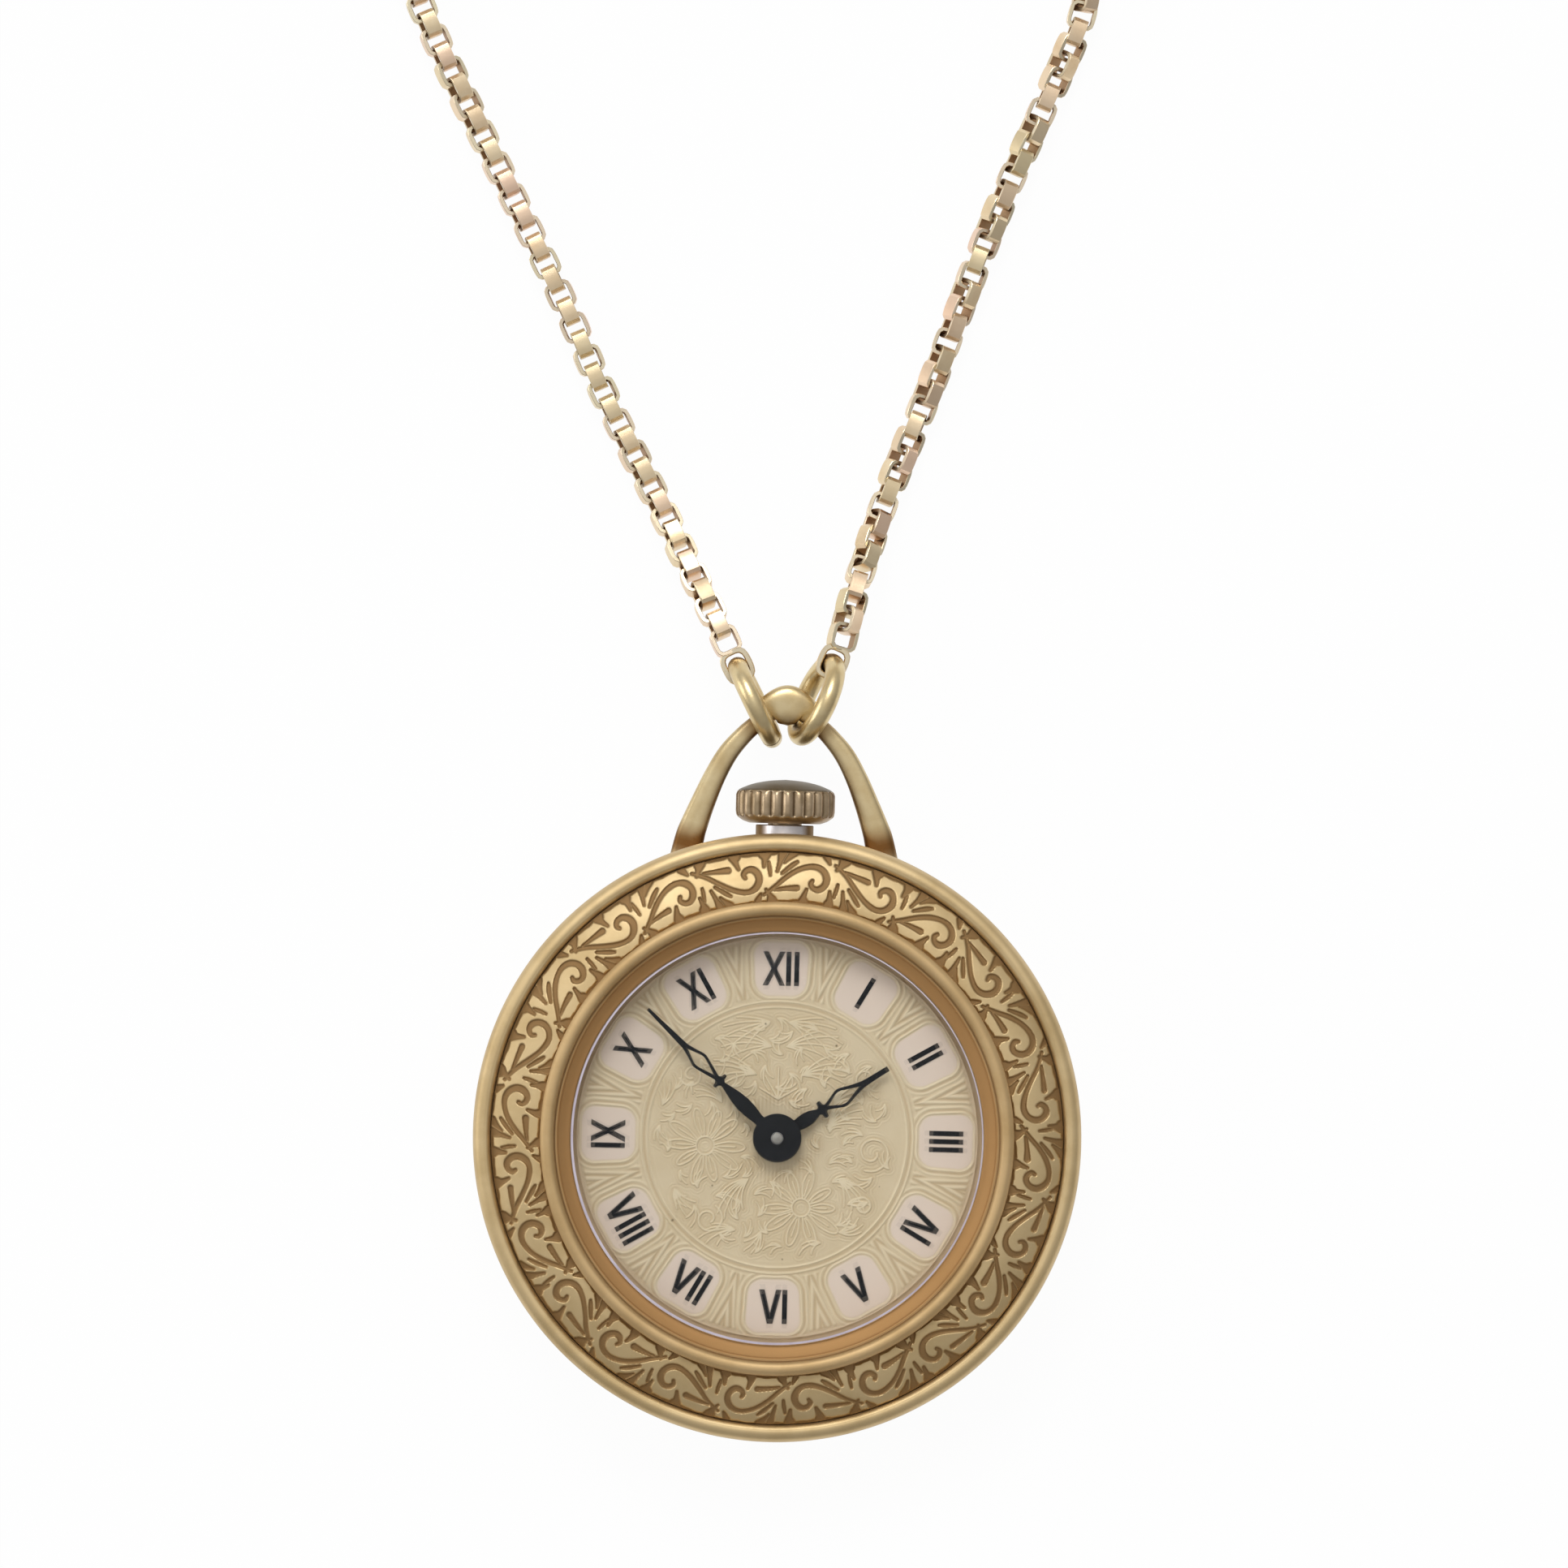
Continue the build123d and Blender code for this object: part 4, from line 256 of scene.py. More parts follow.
def makeMaterial(name, plan):
    material = bpy.data.materials.new(name)
    material.use_nodes = True
    tree = material.node_tree
    place = addNode(tree, "TexCoord").outputs["Object"]
    cloud = addNode(tree, "TexNoise", {
        "Vector": place, "Scale": 1 / (plan["cloud"] * mm), **surfacePlan["noise"],
    }).outputs["Fac"]
    spread = addNode(tree, "MapRange", {"Value": cloud, **surfacePlan["spread"]}).outputs[0]
    color = addNode(tree, "Mix", {
        "Factor": spread, 6: linear(plan["color"]), 7: linear(plan["worn"]),
    }, data_type="RGBA").outputs[2]
    rough = addNode(tree, "MapRange", {
        "Value": cloud, "To Min": plan["rough"][0], "To Max": plan["rough"][1],
    }).outputs["Result"]
    for key, tint, tintRough in plan.get("tints", ()):
        amount = addNode(tree, "Attribute", attribute_name=key).outputs["Fac"]
        color = addNode(tree, "Mix", {
            "Factor": amount, 6: color, 7: linear(tint),
        }, data_type="RGBA").outputs[2]
        rough = addNode(tree, "Mix", {
            "Factor": amount, 2: rough, 3: tintRough,
        }, data_type="FLOAT").outputs[0]
    size = plan.get("grain", surfacePlan["grain"]) * mm
    grain = addNode(tree, "TexNoise", {
        "Vector": place, "Scale": 1 / size, **surfacePlan["grainNoise"],
    }).outputs["Fac"]
    bump = addNode(tree, "Bump", {
        "Height": grain, "Strength": surfacePlan["bump"],
        "Distance": size * surfacePlan["bumpDepth"],
    }).outputs["Normal"]
    setInputs(tree, tree.nodes["Principled BSDF"], {
        "Base Color": color, "Roughness": rough, "Normal": bump,
        "Metallic": 1.0, **plan.get("sockets", {}),
    })
    return material


materialPlans = {
    # Rolled gold, die-struck and polished: pale gold, dulled in clouds where the polish has worn,
    # and turned oranger on the raised ring and inner wall by painted reflection
    "rolledGold": {
        "color": "#D4BC90", "worn": "#C2A97C", "cloud": 2.4, "rough": (0.48, 0.6), "grain": 0.1,
        "tints": (("wall", "#BE9664", 0.75), ("recess", "#96764E", 0.7)),
    },
    # Rolled gold wire, drawn and hand polished: a little green, with brown in the worn places and
    # painted shade on the inner side of the bow
    "wireGold": {
        "color": "#E3D0A4", "worn": "#C9B080", "cloud": 1.8, "rough": (0.26, 0.4), "grain": 0.1,
        "tints": (("tarnishAndShade", "#7A5630", 0.5),),
    },
    # Rolled gold strip, stamped: pale faces, some rosy or olive, with painted highlight on the cut
    # edges and painted shade on the inner sides
    "chainGold": {
        "color": "#F2DDBA", "worn": "#E0C49C", "cloud": 1.4, "rough": (0.26, 0.4), "grain": 0.08,
        "tints": (("olive", "#DCCFA4", 0.35), ("rosy", "#F0CDB8", 0.35), ("edge", "#D8D0B8", 0.4),
                  ("recess", "#A88460", 0.5)),
    },
    # Gilt nickel, milled and worn: brown gold with grey showing at the domed end
    "crownGold": {
        "color": "#B9A386", "worn": "#8F7A5C", "cloud": 0.9, "rough": (0.3, 0.45), "grain": 0.08,
        "tints": (("dome", "#746A58", 0.45), ("recess", "#57452C", 0.6)),
    },
    # Nickel silver, turned: cool and pale, with painted shade in brown down the sides
    "tubeSilver": {
        "color": "#DAD5D6", "worn": "#C2BCBB", "cloud": 0.8, "rough": (0.3, 0.42), "grain": 0.06,
        "tints": (("recess", "#8A6E46", 0.5),),
    },
    # Stamped dial with a cream lacquer: silky, with pinkish plates, darker hollows and a painted
    # shadow of the bezel round its rim
    "creamLacquer": {
        "color": "#D8C8A8", "worn": "#D0BE9B", "cloud": 2.6, "rough": (0.38, 0.5), "grain": 0.07,
        "tints": (("low", "#AC9068", 0.5), ("high", "#F2E6C8", 0.4), ("plate", "#E2D2C2", 0.4),
                  ("shade", "#B8A084", 0.5), ("speck", "#5F4E35", 0.6)),
        "sockets": {"Metallic": 0.0, "Specular IOR Level": 0.2},
    },
    # Black lacquer on stamped brass: deep with a soft sheen
    "blackLacquer": {
        "color": "#15171A", "worn": "#1D1F22", "cloud": 0.8, "rough": (0.35, 0.45), "grain": 0.06,
        "sockets": {"Metallic": 0.0, "Specular IOR Level": 0.2},
    },
    # Nickel-plated brass, fine grained: soft grey
    "plateNickel": {"color": "#D6D2C8", "worn": "#C4BFB2", "cloud": 2.0, "rough": (0.28, 0.4)},
    # Gilt brass, cut and brushed: warm yellow
    "wheelBrass": {"color": "#DDBD6F", "worn": "#C9A552", "cloud": 1.5, "rough": (0.25, 0.36)},
    # Hardened steel, polished: cool with clear reflections
    "toolSteel": {"color": "#C9CBCD", "worn": "#AEB1B4", "cloud": 1.2, "rough": (0.15, 0.26)},
    # Steel pin end, blunt and unpolished: grey with a dull shine
    "dullSteel": {"color": "#A3A19A", "worn": "#86847E", "cloud": 0.3, "rough": (0.45, 0.55)},
    # Painted glint on the edge of the crystal: a pale lilac line that stands in for light caught by
    # the edge
    "glintAcrylic": {
        "color": "#D2CAD8", "worn": "#B8AEBE", "cloud": 1.5, "rough": (0.5, 0.6),
        "sockets": {"Metallic": 0.0},
    },
    # Synthetic ruby, ground and polished: deep pink-red and glassy
    "ruby": {
        "color": "#B01742", "worn": "#8E0F33", "cloud": 0.6, "rough": (0.05, 0.12),
        "sockets": {"Metallic": 0.0, "IOR": 1.76},
    },
}
materials = {name: makeMaterial(name, plan) for name, plan in materialPlans.items()}

# Clear acrylic, moulded and buffed: colourless, with light and view passing straight through
acrylicPlan = {
    "Base Color": (1.0, 1.0, 1.0, 1.0), "Specular Tint": (0.4, 0.4, 0.4, 1.0),
    "Transmission Weight": 1.0, "Roughness": 0.02, "IOR": 1.49, "Alpha": 0.1,
}
acrylic = bpy.data.materials.new("clearAcrylic")
acrylic.use_nodes = True
tree = acrylic.node_tree
setInputs(tree, tree.nodes["Principled BSDF"], acrylicPlan)
materials["clearAcrylic"] = acrylic
print("materials ready")

linkShape = linkLoop(chainPlan)
linkFaces = gridFaces(linkSteps, linkSides, closeRows=True)
# Which of the strip's corners are on its inner face, darkened with painted shade, and which on its
# cut edges, lightened with painted highlight
linkInnerShade = np.tile([0, 0, 0, 1, 1, 0, 0, 0], linkSteps)
linkEdgeHighlight = np.tile([0, 1, 1, 0, 0, 1, 1, 0], linkSteps)


# Painted shade on each link's inner faces and painted highlight on its cut edges
def linkTones(count):
    tones = chainPlan["tones"]
    return {"recess": np.tile(linkInnerShade, count) * tones["recess"],
            "edge": np.tile(linkEdgeHighlight, count) * tones["edge"]}


def placeLinks(path, side):
    steps = np.linalg.norm(np.diff(path, axis=0), axis=1)
    travel = np.concatenate([[0.0], np.cumsum(steps)])
    pitch = chainPlan["pitch"] * mm
    look = pitch * chainPlan["look"]

    def spotAt(distance):
        return Vector([np.interp(distance, travel, path[:, axis]) for axis in range(3)])

    verts, faces, tones = [], [], []
    for here in range(int((travel[-1] - chainPlan["slack"] * mm) / pitch)):
        at = (here + chainPlan["start"]) * pitch
        way = (spotAt(at + look) - spotAt(at - look)).normalized()
        flat = way.cross(Vector((0.0, 0.0, 1.0))).normalized()
        sway = side["sway"][0] * sin(here * side["sway"][1])
        turn = radians(90.0 * (here % 2) + side["turn"] + sway)
        turn += radians(rng.uniform(-chainPlan["jitter"], chainPlan["jitter"]))
        across = Matrix.Rotation(turn, 3, way) @ flat
        axes = np.array([way, across, way.cross(across)])
        verts.append(linkShape @ axes + np.array(spotAt(at)))
        faces.append(linkFaces + here * len(linkShape))
        tones.append((rng.uniform(0, 1), rng.uniform(0, 1)))
    return np.concatenate(verts), np.concatenate(faces), np.array(tones), float(travel[-1])


for key, side in chainSides.items():
    path = readSpline("chainLine", list(side["route"]) + coilPoints(side))
    verts, faces, tones, total = placeLinks(path, side)
    olive, rosy = np.repeat(tones, len(linkShape), axis=0).T
    share = chainPlan["tones"]
    piece = makePiece(
        "chain" + key.capitalize(), verts, faces,
        "chainGold", "chain", side["nodes"], sharp=25.0,
        values={
            "olive": olive ** 2 * share["olive"], "rosy": rosy ** 2 * share["rosy"],
            **linkTones(len(tones)),
        },
    )
    print("chain", key, "links", len(tones), "length", round(total, 4))


# Round the corners of a profile given as (across, along) or (across, along, corner radius)
def roundProfile(points, steps=5):
    line = []
    for here, (x, y, *rounding) in enumerate(points):
        if not rounding:
            line.append((x, y))
            continue
        corner, radius = Vector((x, y)), rounding[0]
        before = Vector(points[here - 1][:2]) - corner
        after = Vector(points[here + 1][:2]) - corner
        reach = min(radius, before.length * 0.5, after.length * 0.5)
        start = corner + before.normalized() * reach
        end = corner + after.normalized() * reach
        for step in range(steps + 1):
            t = step / steps
            spot = start * (1 - t) ** 2 + corner * 2 * t * (1 - t) + end * t ** 2
            line.append((spot.x, spot.y))
    return line


stemHeight = 2.9


# Turn a profile about +Z, or about +Y through the stem; ripple gives growth, stain and painted
# shade, and dome
def lathe(name, plan, material, body, nodes=(), ripple=None):
    profile = roundProfile(plan["profile"])
    turn = np.arange(plan["segments"]) * tau / plan["segments"]
    rows = []
    for radius, along in profile:
        grow, stain, top = ripple(radius, along, turn) if ripple else (0.0, 0.0, 0.0)
        reach = radius + grow
        row = (reach * np.cos(turn), reach * np.sin(turn), along, stain, top)
        rows.append(np.stack(np.broadcast_arrays(*row), 1))
    x, y, z, recess, dome = np.concatenate(rows).T
    verts = [x * mm, y * mm, z * mm]
    if plan.get("stem"):
        verts = [x * mm, z * mm, stemHeight * mm - y * mm]
    makePiece(
        name, np.stack(verts, 1), gridFaces(len(profile), len(turn), closeRows=True),
        material, body, nodes, values={"recess": recess, "dome": dome},
    )


# Case middle with its rounded rim, each profile as (radius, height, corner radius if rounded)
lathe("caseMiddle", {
    "profile": (
        (12.9, 1.5), (14.35, 1.5, 0.1), (14.8, 2.3, 0.6), (15.0, 3.4, 0.8), (15.0, 5.3, 0.5),
        (14.86, 5.78, 0.3), (14.5, 5.92, 0.3), (14.2, 5.82, 0.2), (14.12, 5.5, 0.1), (14.12, 4.95),
        (10.25, 4.95), (10.25, 4.65), (12.35, 4.65), (12.35, 2.6), (12.9, 2.6),
    ),
    "segments": 512,
}, "rolledGold", "watch", ("case_middle",))
# Snap-on back, flat in the middle
lathe("caseBack", {
    "profile": (
        (0.001, 0.0), (11.2, 0.0, 1.2), (12.8, 0.45, 0.8), (14.0, 1.0, 0.8), (14.35, 1.48, 0.1),
        (12.88, 1.48), (12.88, 2.3), (12.38, 2.3), (12.38, 1.48), (11.2, 0.6), (0.001, 0.6),
    ),
    "segments": 512,
}, "rolledGold", "watch", ("case_back",))
# Domed crystal with its foot under the bezel
lathe("crystalDome", {
    "profile": (
        (9.58, 4.97), (10.53, 4.97), (10.53, 5.35), (10.18, 5.35), (10.18, 6.25, 0.12),
        (9.4, 6.52, 0.5), (7.6, 7.03, 1.0), (5.1, 7.57, 1.3), (2.6, 7.89, 1.3), (0.001, 8.0),
        (0.001, 7.4), (2.6, 7.3, 1.3), (5.1, 6.98, 1.3), (7.6, 6.46, 1.0), (9.0, 6.1, 0.5),
        (9.58, 5.95),
    ),
    "segments": 360,
}, "clearAcrylic", "watch", ("crystal",))
# Painted glint along the edge of the crystal: a thin pale ring standing in for light caught there,
# widest at the lower left
glintPlan = {
    "profile": ((10.03, 6.3), (10.15, 6.28), (10.15, 6.24), (10.03, 6.24)),
    "segments": 360, "split": 10.1, "narrow": 0.07, "widest": 225,
}


def glintTaper(radius, along, turn):
    narrow = 0.5 - 0.5 * np.cos(turn - radians(glintPlan["widest"]))
    return (glintPlan["narrow"] * narrow if radius < glintPlan["split"] else 0.0), 0.0, 0.0


lathe("crystalGlint", glintPlan, "glintAcrylic", "watch", ripple=glintTaper)
print("case ready")


def unit(values):
    return np.clip(values, 0, 1)


# How deep each place lies in a set of strokes of (across, along, half width)
def strokeField(u, v, strokes, edge):
    field = np.zeros(u.shape)
    for stroke in strokes:
        line = smoothLine(stroke)
        us, vs, halves = zip(*line)
        reach = max(halves) + edge
        near = ((u > min(us) - reach) & (u < max(us) + reach)
                & (v > min(vs) - reach) & (v < max(vs) + reach))
        if not near.any():
            continue
        pu, pv = u[near], v[near]
        best = np.zeros(pu.shape)
        for a, b in zip(line, line[1:]):
            du, dv = b[0] - a[0], b[1] - a[1]
            along = (pu - a[0]) * du + (pv - a[1]) * dv
            share = unit(along / (du * du + dv * dv + 1e-9))
            away = np.hypot(pu - a[0] - share * du, pv - a[1] - share * dv)
            half = a[2] + share * (b[2] - a[2])
            best = np.maximum(best, 1 - (away - half) / edge)
        field[near] = np.maximum(field[near], unit(best))
    return field * field * (3 - 2 * field)


def smoothLine(points, parts=4):
    if len(points) < 3:
        return list(points)
    ends = [points[0]] + list(points) + [points[-1]]
    line = []
    for p0, p1, p2, p3 in zip(ends, ends[1:], ends[2:], ends[3:]):
        for part in range(parts):
            t = part / parts
            line.append(tuple(
                0.5 * (2 * b + (c - a) * t + (2 * a - 5 * b + 4 * c - d) * t * t
                       + (3 * b - a - 3 * c + d) * t ** 3)
                for a, b, c, d in zip(p0, p1, p2, p3)
            ))
    return line + [tuple(points[-1])]


# Bezel: an engraved band of mirrored scrolls between a polished rim and a raised ring
bezelPlan = {
    "curls": 24, "columns": 2304, "rows": 76, "window": 86,
    "outer": 14.08, "inner": 11.67, "middle": 12.875, "foot": 14.1, "span": 2.4,
    "low": 5.7, "rise": 0.7, "swell": 0.16, "depth": 0.12, "edge": 0.1,
    "border": 1.09, "borderEdge": 0.1, "swing": 0.05, "shift": (0.05, 0.04),
    "stretch": (0.85, 1.15), "waves": ((0.02, 37, 0), (0.015, 61, 1), (0.01, 143, 0)),
    # wall places the painted reflection on the ring and its inner wall: start radius, fade, least
    # share
    "seam": (10.95, 0.06, 6.8), "wall": (10.98, 0.15, 0.35), "tone": 0.9,
    "ring": (
        (11.66, 6.3), (11.66, 6.8, 0.08), (11.5, 6.96, 0.15), (11.3, 7.0, 0.15), (11.1, 6.95, 0.15),
        (10.96, 6.75, 0.04), (10.94, 6.55, 0.04), (10.82, 6.56, 0.05), (10.76, 6.42, 0.05),
        (10.6, 6.3, 0.15), (10.4, 6.18, 0.2), (10.2, 6.12, 0.03), (10.2, 5.4), (10.55, 5.4),
        (10.55, 4.95), (14.1, 4.95), (14.1, 5.5),
    ),
}
# Cuts of one scroll: (along the band, out from its middle, half width)
scrollCuts = [
    [(-2.65, -0.85, 0.02), (-2.05, -0.45, 0.045), (-1.5, 0.02, 0.055), (-0.95, 0.4, 0.06),
     (-0.45, 0.6, 0.065), (-0.05, 0.62, 0.075), (0.28, 0.46, 0.095), (0.47, 0.14, 0.105),
     (0.43, -0.2, 0.1), (0.2, -0.44, 0.09), (-0.08, -0.44, 0.075), (-0.26, -0.25, 0.06),
     (-0.2, -0.07, 0.035)],
    [(-0.62, -1.2, 0.24), (-0.62, -0.9, 0.1), (-0.5, -0.5, 0.02)],
    [(0.8, -1.2, 0.26), (0.82, -0.9, 0.11), (0.75, -0.5, 0.02)],
    [(0.95, -0.7, 0.02), (1.0, -0.35, 0.035), (1.02, -0.05, 0.01)],
    [(1.65, -1.15, 0.16), (1.55, -0.8, 0.07), (1.4, -0.3, 0.015)],
    [(1.15, 1.2, 0.24), (1.05, 0.93, 0.1), (0.85, 0.6, 0.02)],
    [(-1.75, 0.15, 0.02), (-1.3, 0.55, 0.05), (-1.05, 0.75, 0.015)],
    [(-2.1, -0.62, 0.015), (-1.5, -0.55, 0.05), (-0.95, -0.5, 0.09)],
    [(-1.2, 1.2, 0.15), (-1.45, 0.95, 0.07), (-1.65, 0.7, 0.015)],
    [(0.3, 1.2, 0.12), (0.42, 0.98, 0.05), (0.5, 0.85, 0.01)],
]


def bell(value, middle, width):
    return np.exp(-((value - middle) / width) ** 2)


def engraveBand(turn, across):
    plan = bezelPlan
    columns = plan["columns"]
    field = np.zeros((plan["rows"], columns))
    window = np.arange(-plan["window"], plan["window"] + 1)
    shape = (plan["rows"], len(window))
    for curl in range(plan["curls"]):
        centre = round((curl + 0.5) * columns / plan["curls"])
        mirror = 1 if curl % 2 else -1
        picked = (centre + window) % columns
        # Strokes run clockwise, so the offset is turned round
        u = np.broadcast_to(-window * tau / columns * plan["middle"], shape)
        v = np.broadcast_to(across * mirror, shape)
        side, out = plan["shift"]
        wobble = [(rng.uniform(-side, side), rng.uniform(-out, out)) for cut in scrollCuts]
        cuts = [
            [(a + du, b + dv, c * rng.uniform(*plan["stretch"])) for a, b, c in cut]
            for cut, (du, dv) in zip(scrollCuts, wobble)
        ]
        engraved = strokeField(u, v, cuts, plan["edge"])
        field[:, picked] = np.maximum(field[:, picked], engraved)
    uneven = sum(size * np.sin(turn * waves + start) for size, waves, start in plan["waves"])
    swing = plan["swing"] * np.sin(turn * plan["curls"] / 2)[None, :] * np.sign(across)
    border = (np.abs(across) - plan["border"] + swing - uneven[None, :]) / plan["borderEdge"]
    return np.maximum(field, unit(border))


def makeBezel():
    plan = bezelPlan
    columns = plan["columns"]
    turn = np.arange(columns) * tau / columns
    radii = np.linspace(plan["outer"], plan["inner"], plan["rows"])
    field = engraveBand(turn, (radii - plan["middle"])[:, None])
    share = (plan["foot"] - radii) / plan["span"]
    base = plan["low"] + plan["rise"] * share + plan["swell"] * 4 * share * (1 - share)
    bandRows = base[:, None] - plan["depth"] * field
    ringRadius, ringHeight = np.array(roundProfile(plan["ring"])).T
    ringShape = (len(ringRadius), columns)
    radius = np.concatenate([radii, ringRadius])
    height = np.concatenate([bandRows, np.broadcast_to(ringHeight[:, None], ringShape)])
    verts = np.stack([
        radius[:, None] * np.cos(turn), radius[:, None] * np.sin(turn), height,
    ], axis=-1).reshape(-1, 3) * mm
    # Dark seam inside the raised ring, then a painted reflection that turns the ring oranger, most
    # on its inner wall
    middle, wide, below = plan["seam"]
    seam = bell(ringRadius, middle, wide) * (ringHeight < below) * plan["tone"]
    start, fade, least = plan["wall"]
    wall = np.clip((start - ringRadius) / fade, least, 1)
    recess = np.concatenate([field, np.broadcast_to(seam[:, None], ringShape)])
    walls = np.concatenate([np.zeros(field.shape), np.broadcast_to(wall[:, None], ringShape)])
    makePiece(
        "bezelRing", verts, gridFaces(len(radius), columns, closeRows=True),
        "rolledGold", "watch", ("bezel",),
        values={"recess": recess * plan["tone"], "wall": walls * plan["tone"]},
    )


makeBezel()
print("bezel ready")


# Strokes of the embossed field, each point as (across, up, half width)
flowerPlan = {
    "petals": 10, "swing": 0.12, "uneven": (0.82, 1.12), "eye": 0.45,
    "eyeHalf": 0.02, "petalHalf": 0.015, "veinHalf": 0.012,
}


def flower(x, y, reach):
    plan = flowerPlan
    strokes = [[(x + plan["eye"] * cos(a), y + plan["eye"] * sin(a), plan["eyeHalf"])
                for a in np.linspace(0, tau, 17)]]
    for petal in range(plan["petals"]):
        swing = rng.uniform(-plan["swing"], plan["swing"])
        a = tau * (petal + swing) / plan["petals"]
        far = reach * rng.uniform(*plan["uneven"])
        outline = (
            (0.5, -0.14), (far * 0.6, -0.2), (far * 0.9, -0.1), (far, 0.0),
            (far * 0.9, 0.1), (far * 0.6, 0.2), (0.5, 0.14),
        )
        strokes.append([
            (x + r * cos(a + d), y + r * sin(a + d), plan["petalHalf"])
            for r, d in outline
        ])
        strokes.append([
            (x + r * cos(a), y + r * sin(a), plan["veinHalf"])
            for r in (0.6, far * 0.75)
        ])
    return strokes


scrollPlan = {"half": 0.022, "tighten": 0.72, "perTurn": 10}


def scroll(x, y, radius, start, turns):
    steps = int(scrollPlan["perTurn"] * abs(turns)) + 1
    line = []
    for step in range(steps + 1):
        share = step / steps
        a = radians(start) + turns * tau * share
        r = radius * (1 - scrollPlan["tighten"] * share)
        line.append((x + r * cos(a), y + r * sin(a), scrollPlan["half"]))
    return [line]


plumePlan = {"half": 0.018, "root": 1.3, "shorten": 0.6, "parts": 5, "uneven": (0.85, 1.1)}


# A fan of fine curved lines that leave one point
def plume(x, y, angle, length, bend, count=5, fan=55.0):
    parts = plumePlan["parts"]
    strokes = []
    for here in range(count):
        share = here / (count - 1) - 0.5
        px, py, line = x, y, []
        reach = length * (1 - plumePlan["shorten"] * abs(share)) * rng.uniform(*plumePlan["uneven"])
        for step in range(parts + 1):
            a = radians(angle + fan * share + bend * step / parts)
            line.append((px, py, plumePlan["half"] * (plumePlan["root"] - step / parts)))
            px, py = px + cos(a) * reach / parts, py + sin(a) * reach / parts
        strokes.append(line)
    return strokes


# Flowers as (x, y, reach), scrolls as (x, y, radius, start, turns), plumes as (x, y, angle, length,
# bend, lines, fan), and circles as (x, y, radius) that the small plumes between them keep out of
fieldPlan = {
    "flowers": ((-3.54, -0.48, 1.9), (1.26, -3.44, 1.95)),
    "scrolls": (
        (4.7, -0.65, 0.95, 250, 1.3), (-3.3, -4.1, 0.75, 60, -1.3), (4.3, -3.3, 0.5, 150, -1.2),
        (-4.3, 3.0, 0.6, 200, 1.25), (4.3, 3.0, 0.6, -20, -1.25),
    ),
    "plumes": (
        (0.0, 1.9, 90, 1.6, 0, 5, 120), (2.5, 0.5, 55, 2.3, -50, 6), (-5.7, 1.5, 65, 1.4, 40, 4),
        (-1.4, -2.1, 215, 2.3, 50, 6), (-2.0, -4.6, 175, 1.9, 50), (-4.9, -2.7, 285, 1.5, 40, 4),
        (-0.7, -4.7, 250, 1.4, -30, 4), (3.1, -2.0, -35, 2.1, -40), (3.2, -4.6, 5, 1.5, 60, 4),
    ),
    "mirrored": (
        (0.5, 5.7, -12, 2.7, -22), (0.4, 4.5, 12, 2.8, -35), (1.2, 3.1, 22, 2.7, -45),
        (2.8, 1.7, 62, 1.7, -60),
    ),
    "taken": (
        (-3.54, -0.48, 1.5), (1.26, -3.44, 1.5), (4.7, -0.65, 1.0), (-3.3, -4.1, 0.8),
        (0.0, 0.0, 1.6),
    ),
    "small": 110, "smallReach": 5.9, "goldenAngle": 137.508,
    "turns": (70, 150, -110), "lengths": (0.7, 1.2), "bends": (70, -70),
}


def drawField():
    plan = fieldPlan
    strokes = []
    for make, places in ((flower, "flowers"), (scroll, "scrolls"), (plume, "plumes")):
        for place in plan[places]:
            strokes += make(*place)
    for here in range(plan["small"]):
        far = plan["smallReach"] * sqrt((here + 0.5) / plan["small"])
        heading = here * plan["goldenAngle"]
        px, py = far * cos(radians(heading)), far * sin(radians(heading))
        if all(hypot(px - x, py - y) > reach for x, y, reach in plan["taken"]):
            strokes += plume(
                px, py, heading + rng.choice(plan["turns"]), rng.uniform(*plan["lengths"]),
                rng.choice(plan["bends"]), 3, 50.0,
            )
    for side in (1, -1):
        for px, py, angle, length, bend in plan["mirrored"]:
            heading = angle if side > 0 else 180 - angle
            strokes += plume(px * side, py, heading, length, bend * side)
    return strokes


# Dial: relief heights in mm and shares of tone for each layer of the stamping
dialPlan = {
    "inner": 0.95, "chapter": 6.8, "outer": 10.6, "top": 4.56, "bottom": 4.32,
    "step": 0.036, "coarse": 1.3, "columns": 1440, "field": 6.3, "strokeEdge": 0.06,
    "echoReach": 0.5, "echoes": 2.5, "echoRise": 4, "nearTone": (1.6, 0.9),
    "plate": {
        "radius": 8.32, "across": 1.38, "along": 1.32, "corner": 0.7,
        "taper": 0.06, "tip": 1.3, "edge": 0.1, "far": 9.0,
    },
    "outlines": ((1.0, 0.12), (0.7, 0.38)), "outlineWidth": 0.06,
    "seam": (0.25, 0.05), "valley": (6.95, 9.7), "edge": 9.9,
    "flutes": {"pitch": 0.32, "clear": 0.5, "inner": 6.9, "outer": 9.75, "fade": 0.1, "end": 0.15},
    "rings": (6.42, 6.72, 9.9), "ringWidth": 0.055,
    "hatch": {"pitch": 0.19, "radius": 1.9, "width": 0.45, "free": 0.6},
    "heights": {"ridge": 0.07, "outline": 0.06, "flute": 0.06, "rings": 0.07, "hatch": 0.015,
                "echo": 0.02, "plate": 0.012},
    "lights": {"ridge": 0.4, "outline": 0.45, "flute": 0.4, "rings": 0.5},
    "darks": {"near": 0.3, "hatch": 0.3, "valley": 0.45, "seam": 0.45},
    # shade places the painted shadow of the bezel on the dial's rim: start radius, fade, strength
    "groove": (0.5, 6.57, 0.06), "shade": (9.62, 0.3, 0.8), "speckCore": 1.4,
    "specks": (
        (-5.06, -4.2, 0.07), (2.82, 4.6, 0.06), (-3.14, -2.44, 0.05), (-0.7, 5.6, 0.05),
        (-4.1, 2.1, 0.03), (5.1, -2.3, 0.03), (0.4, -6.0, 0.04),
    ),
}


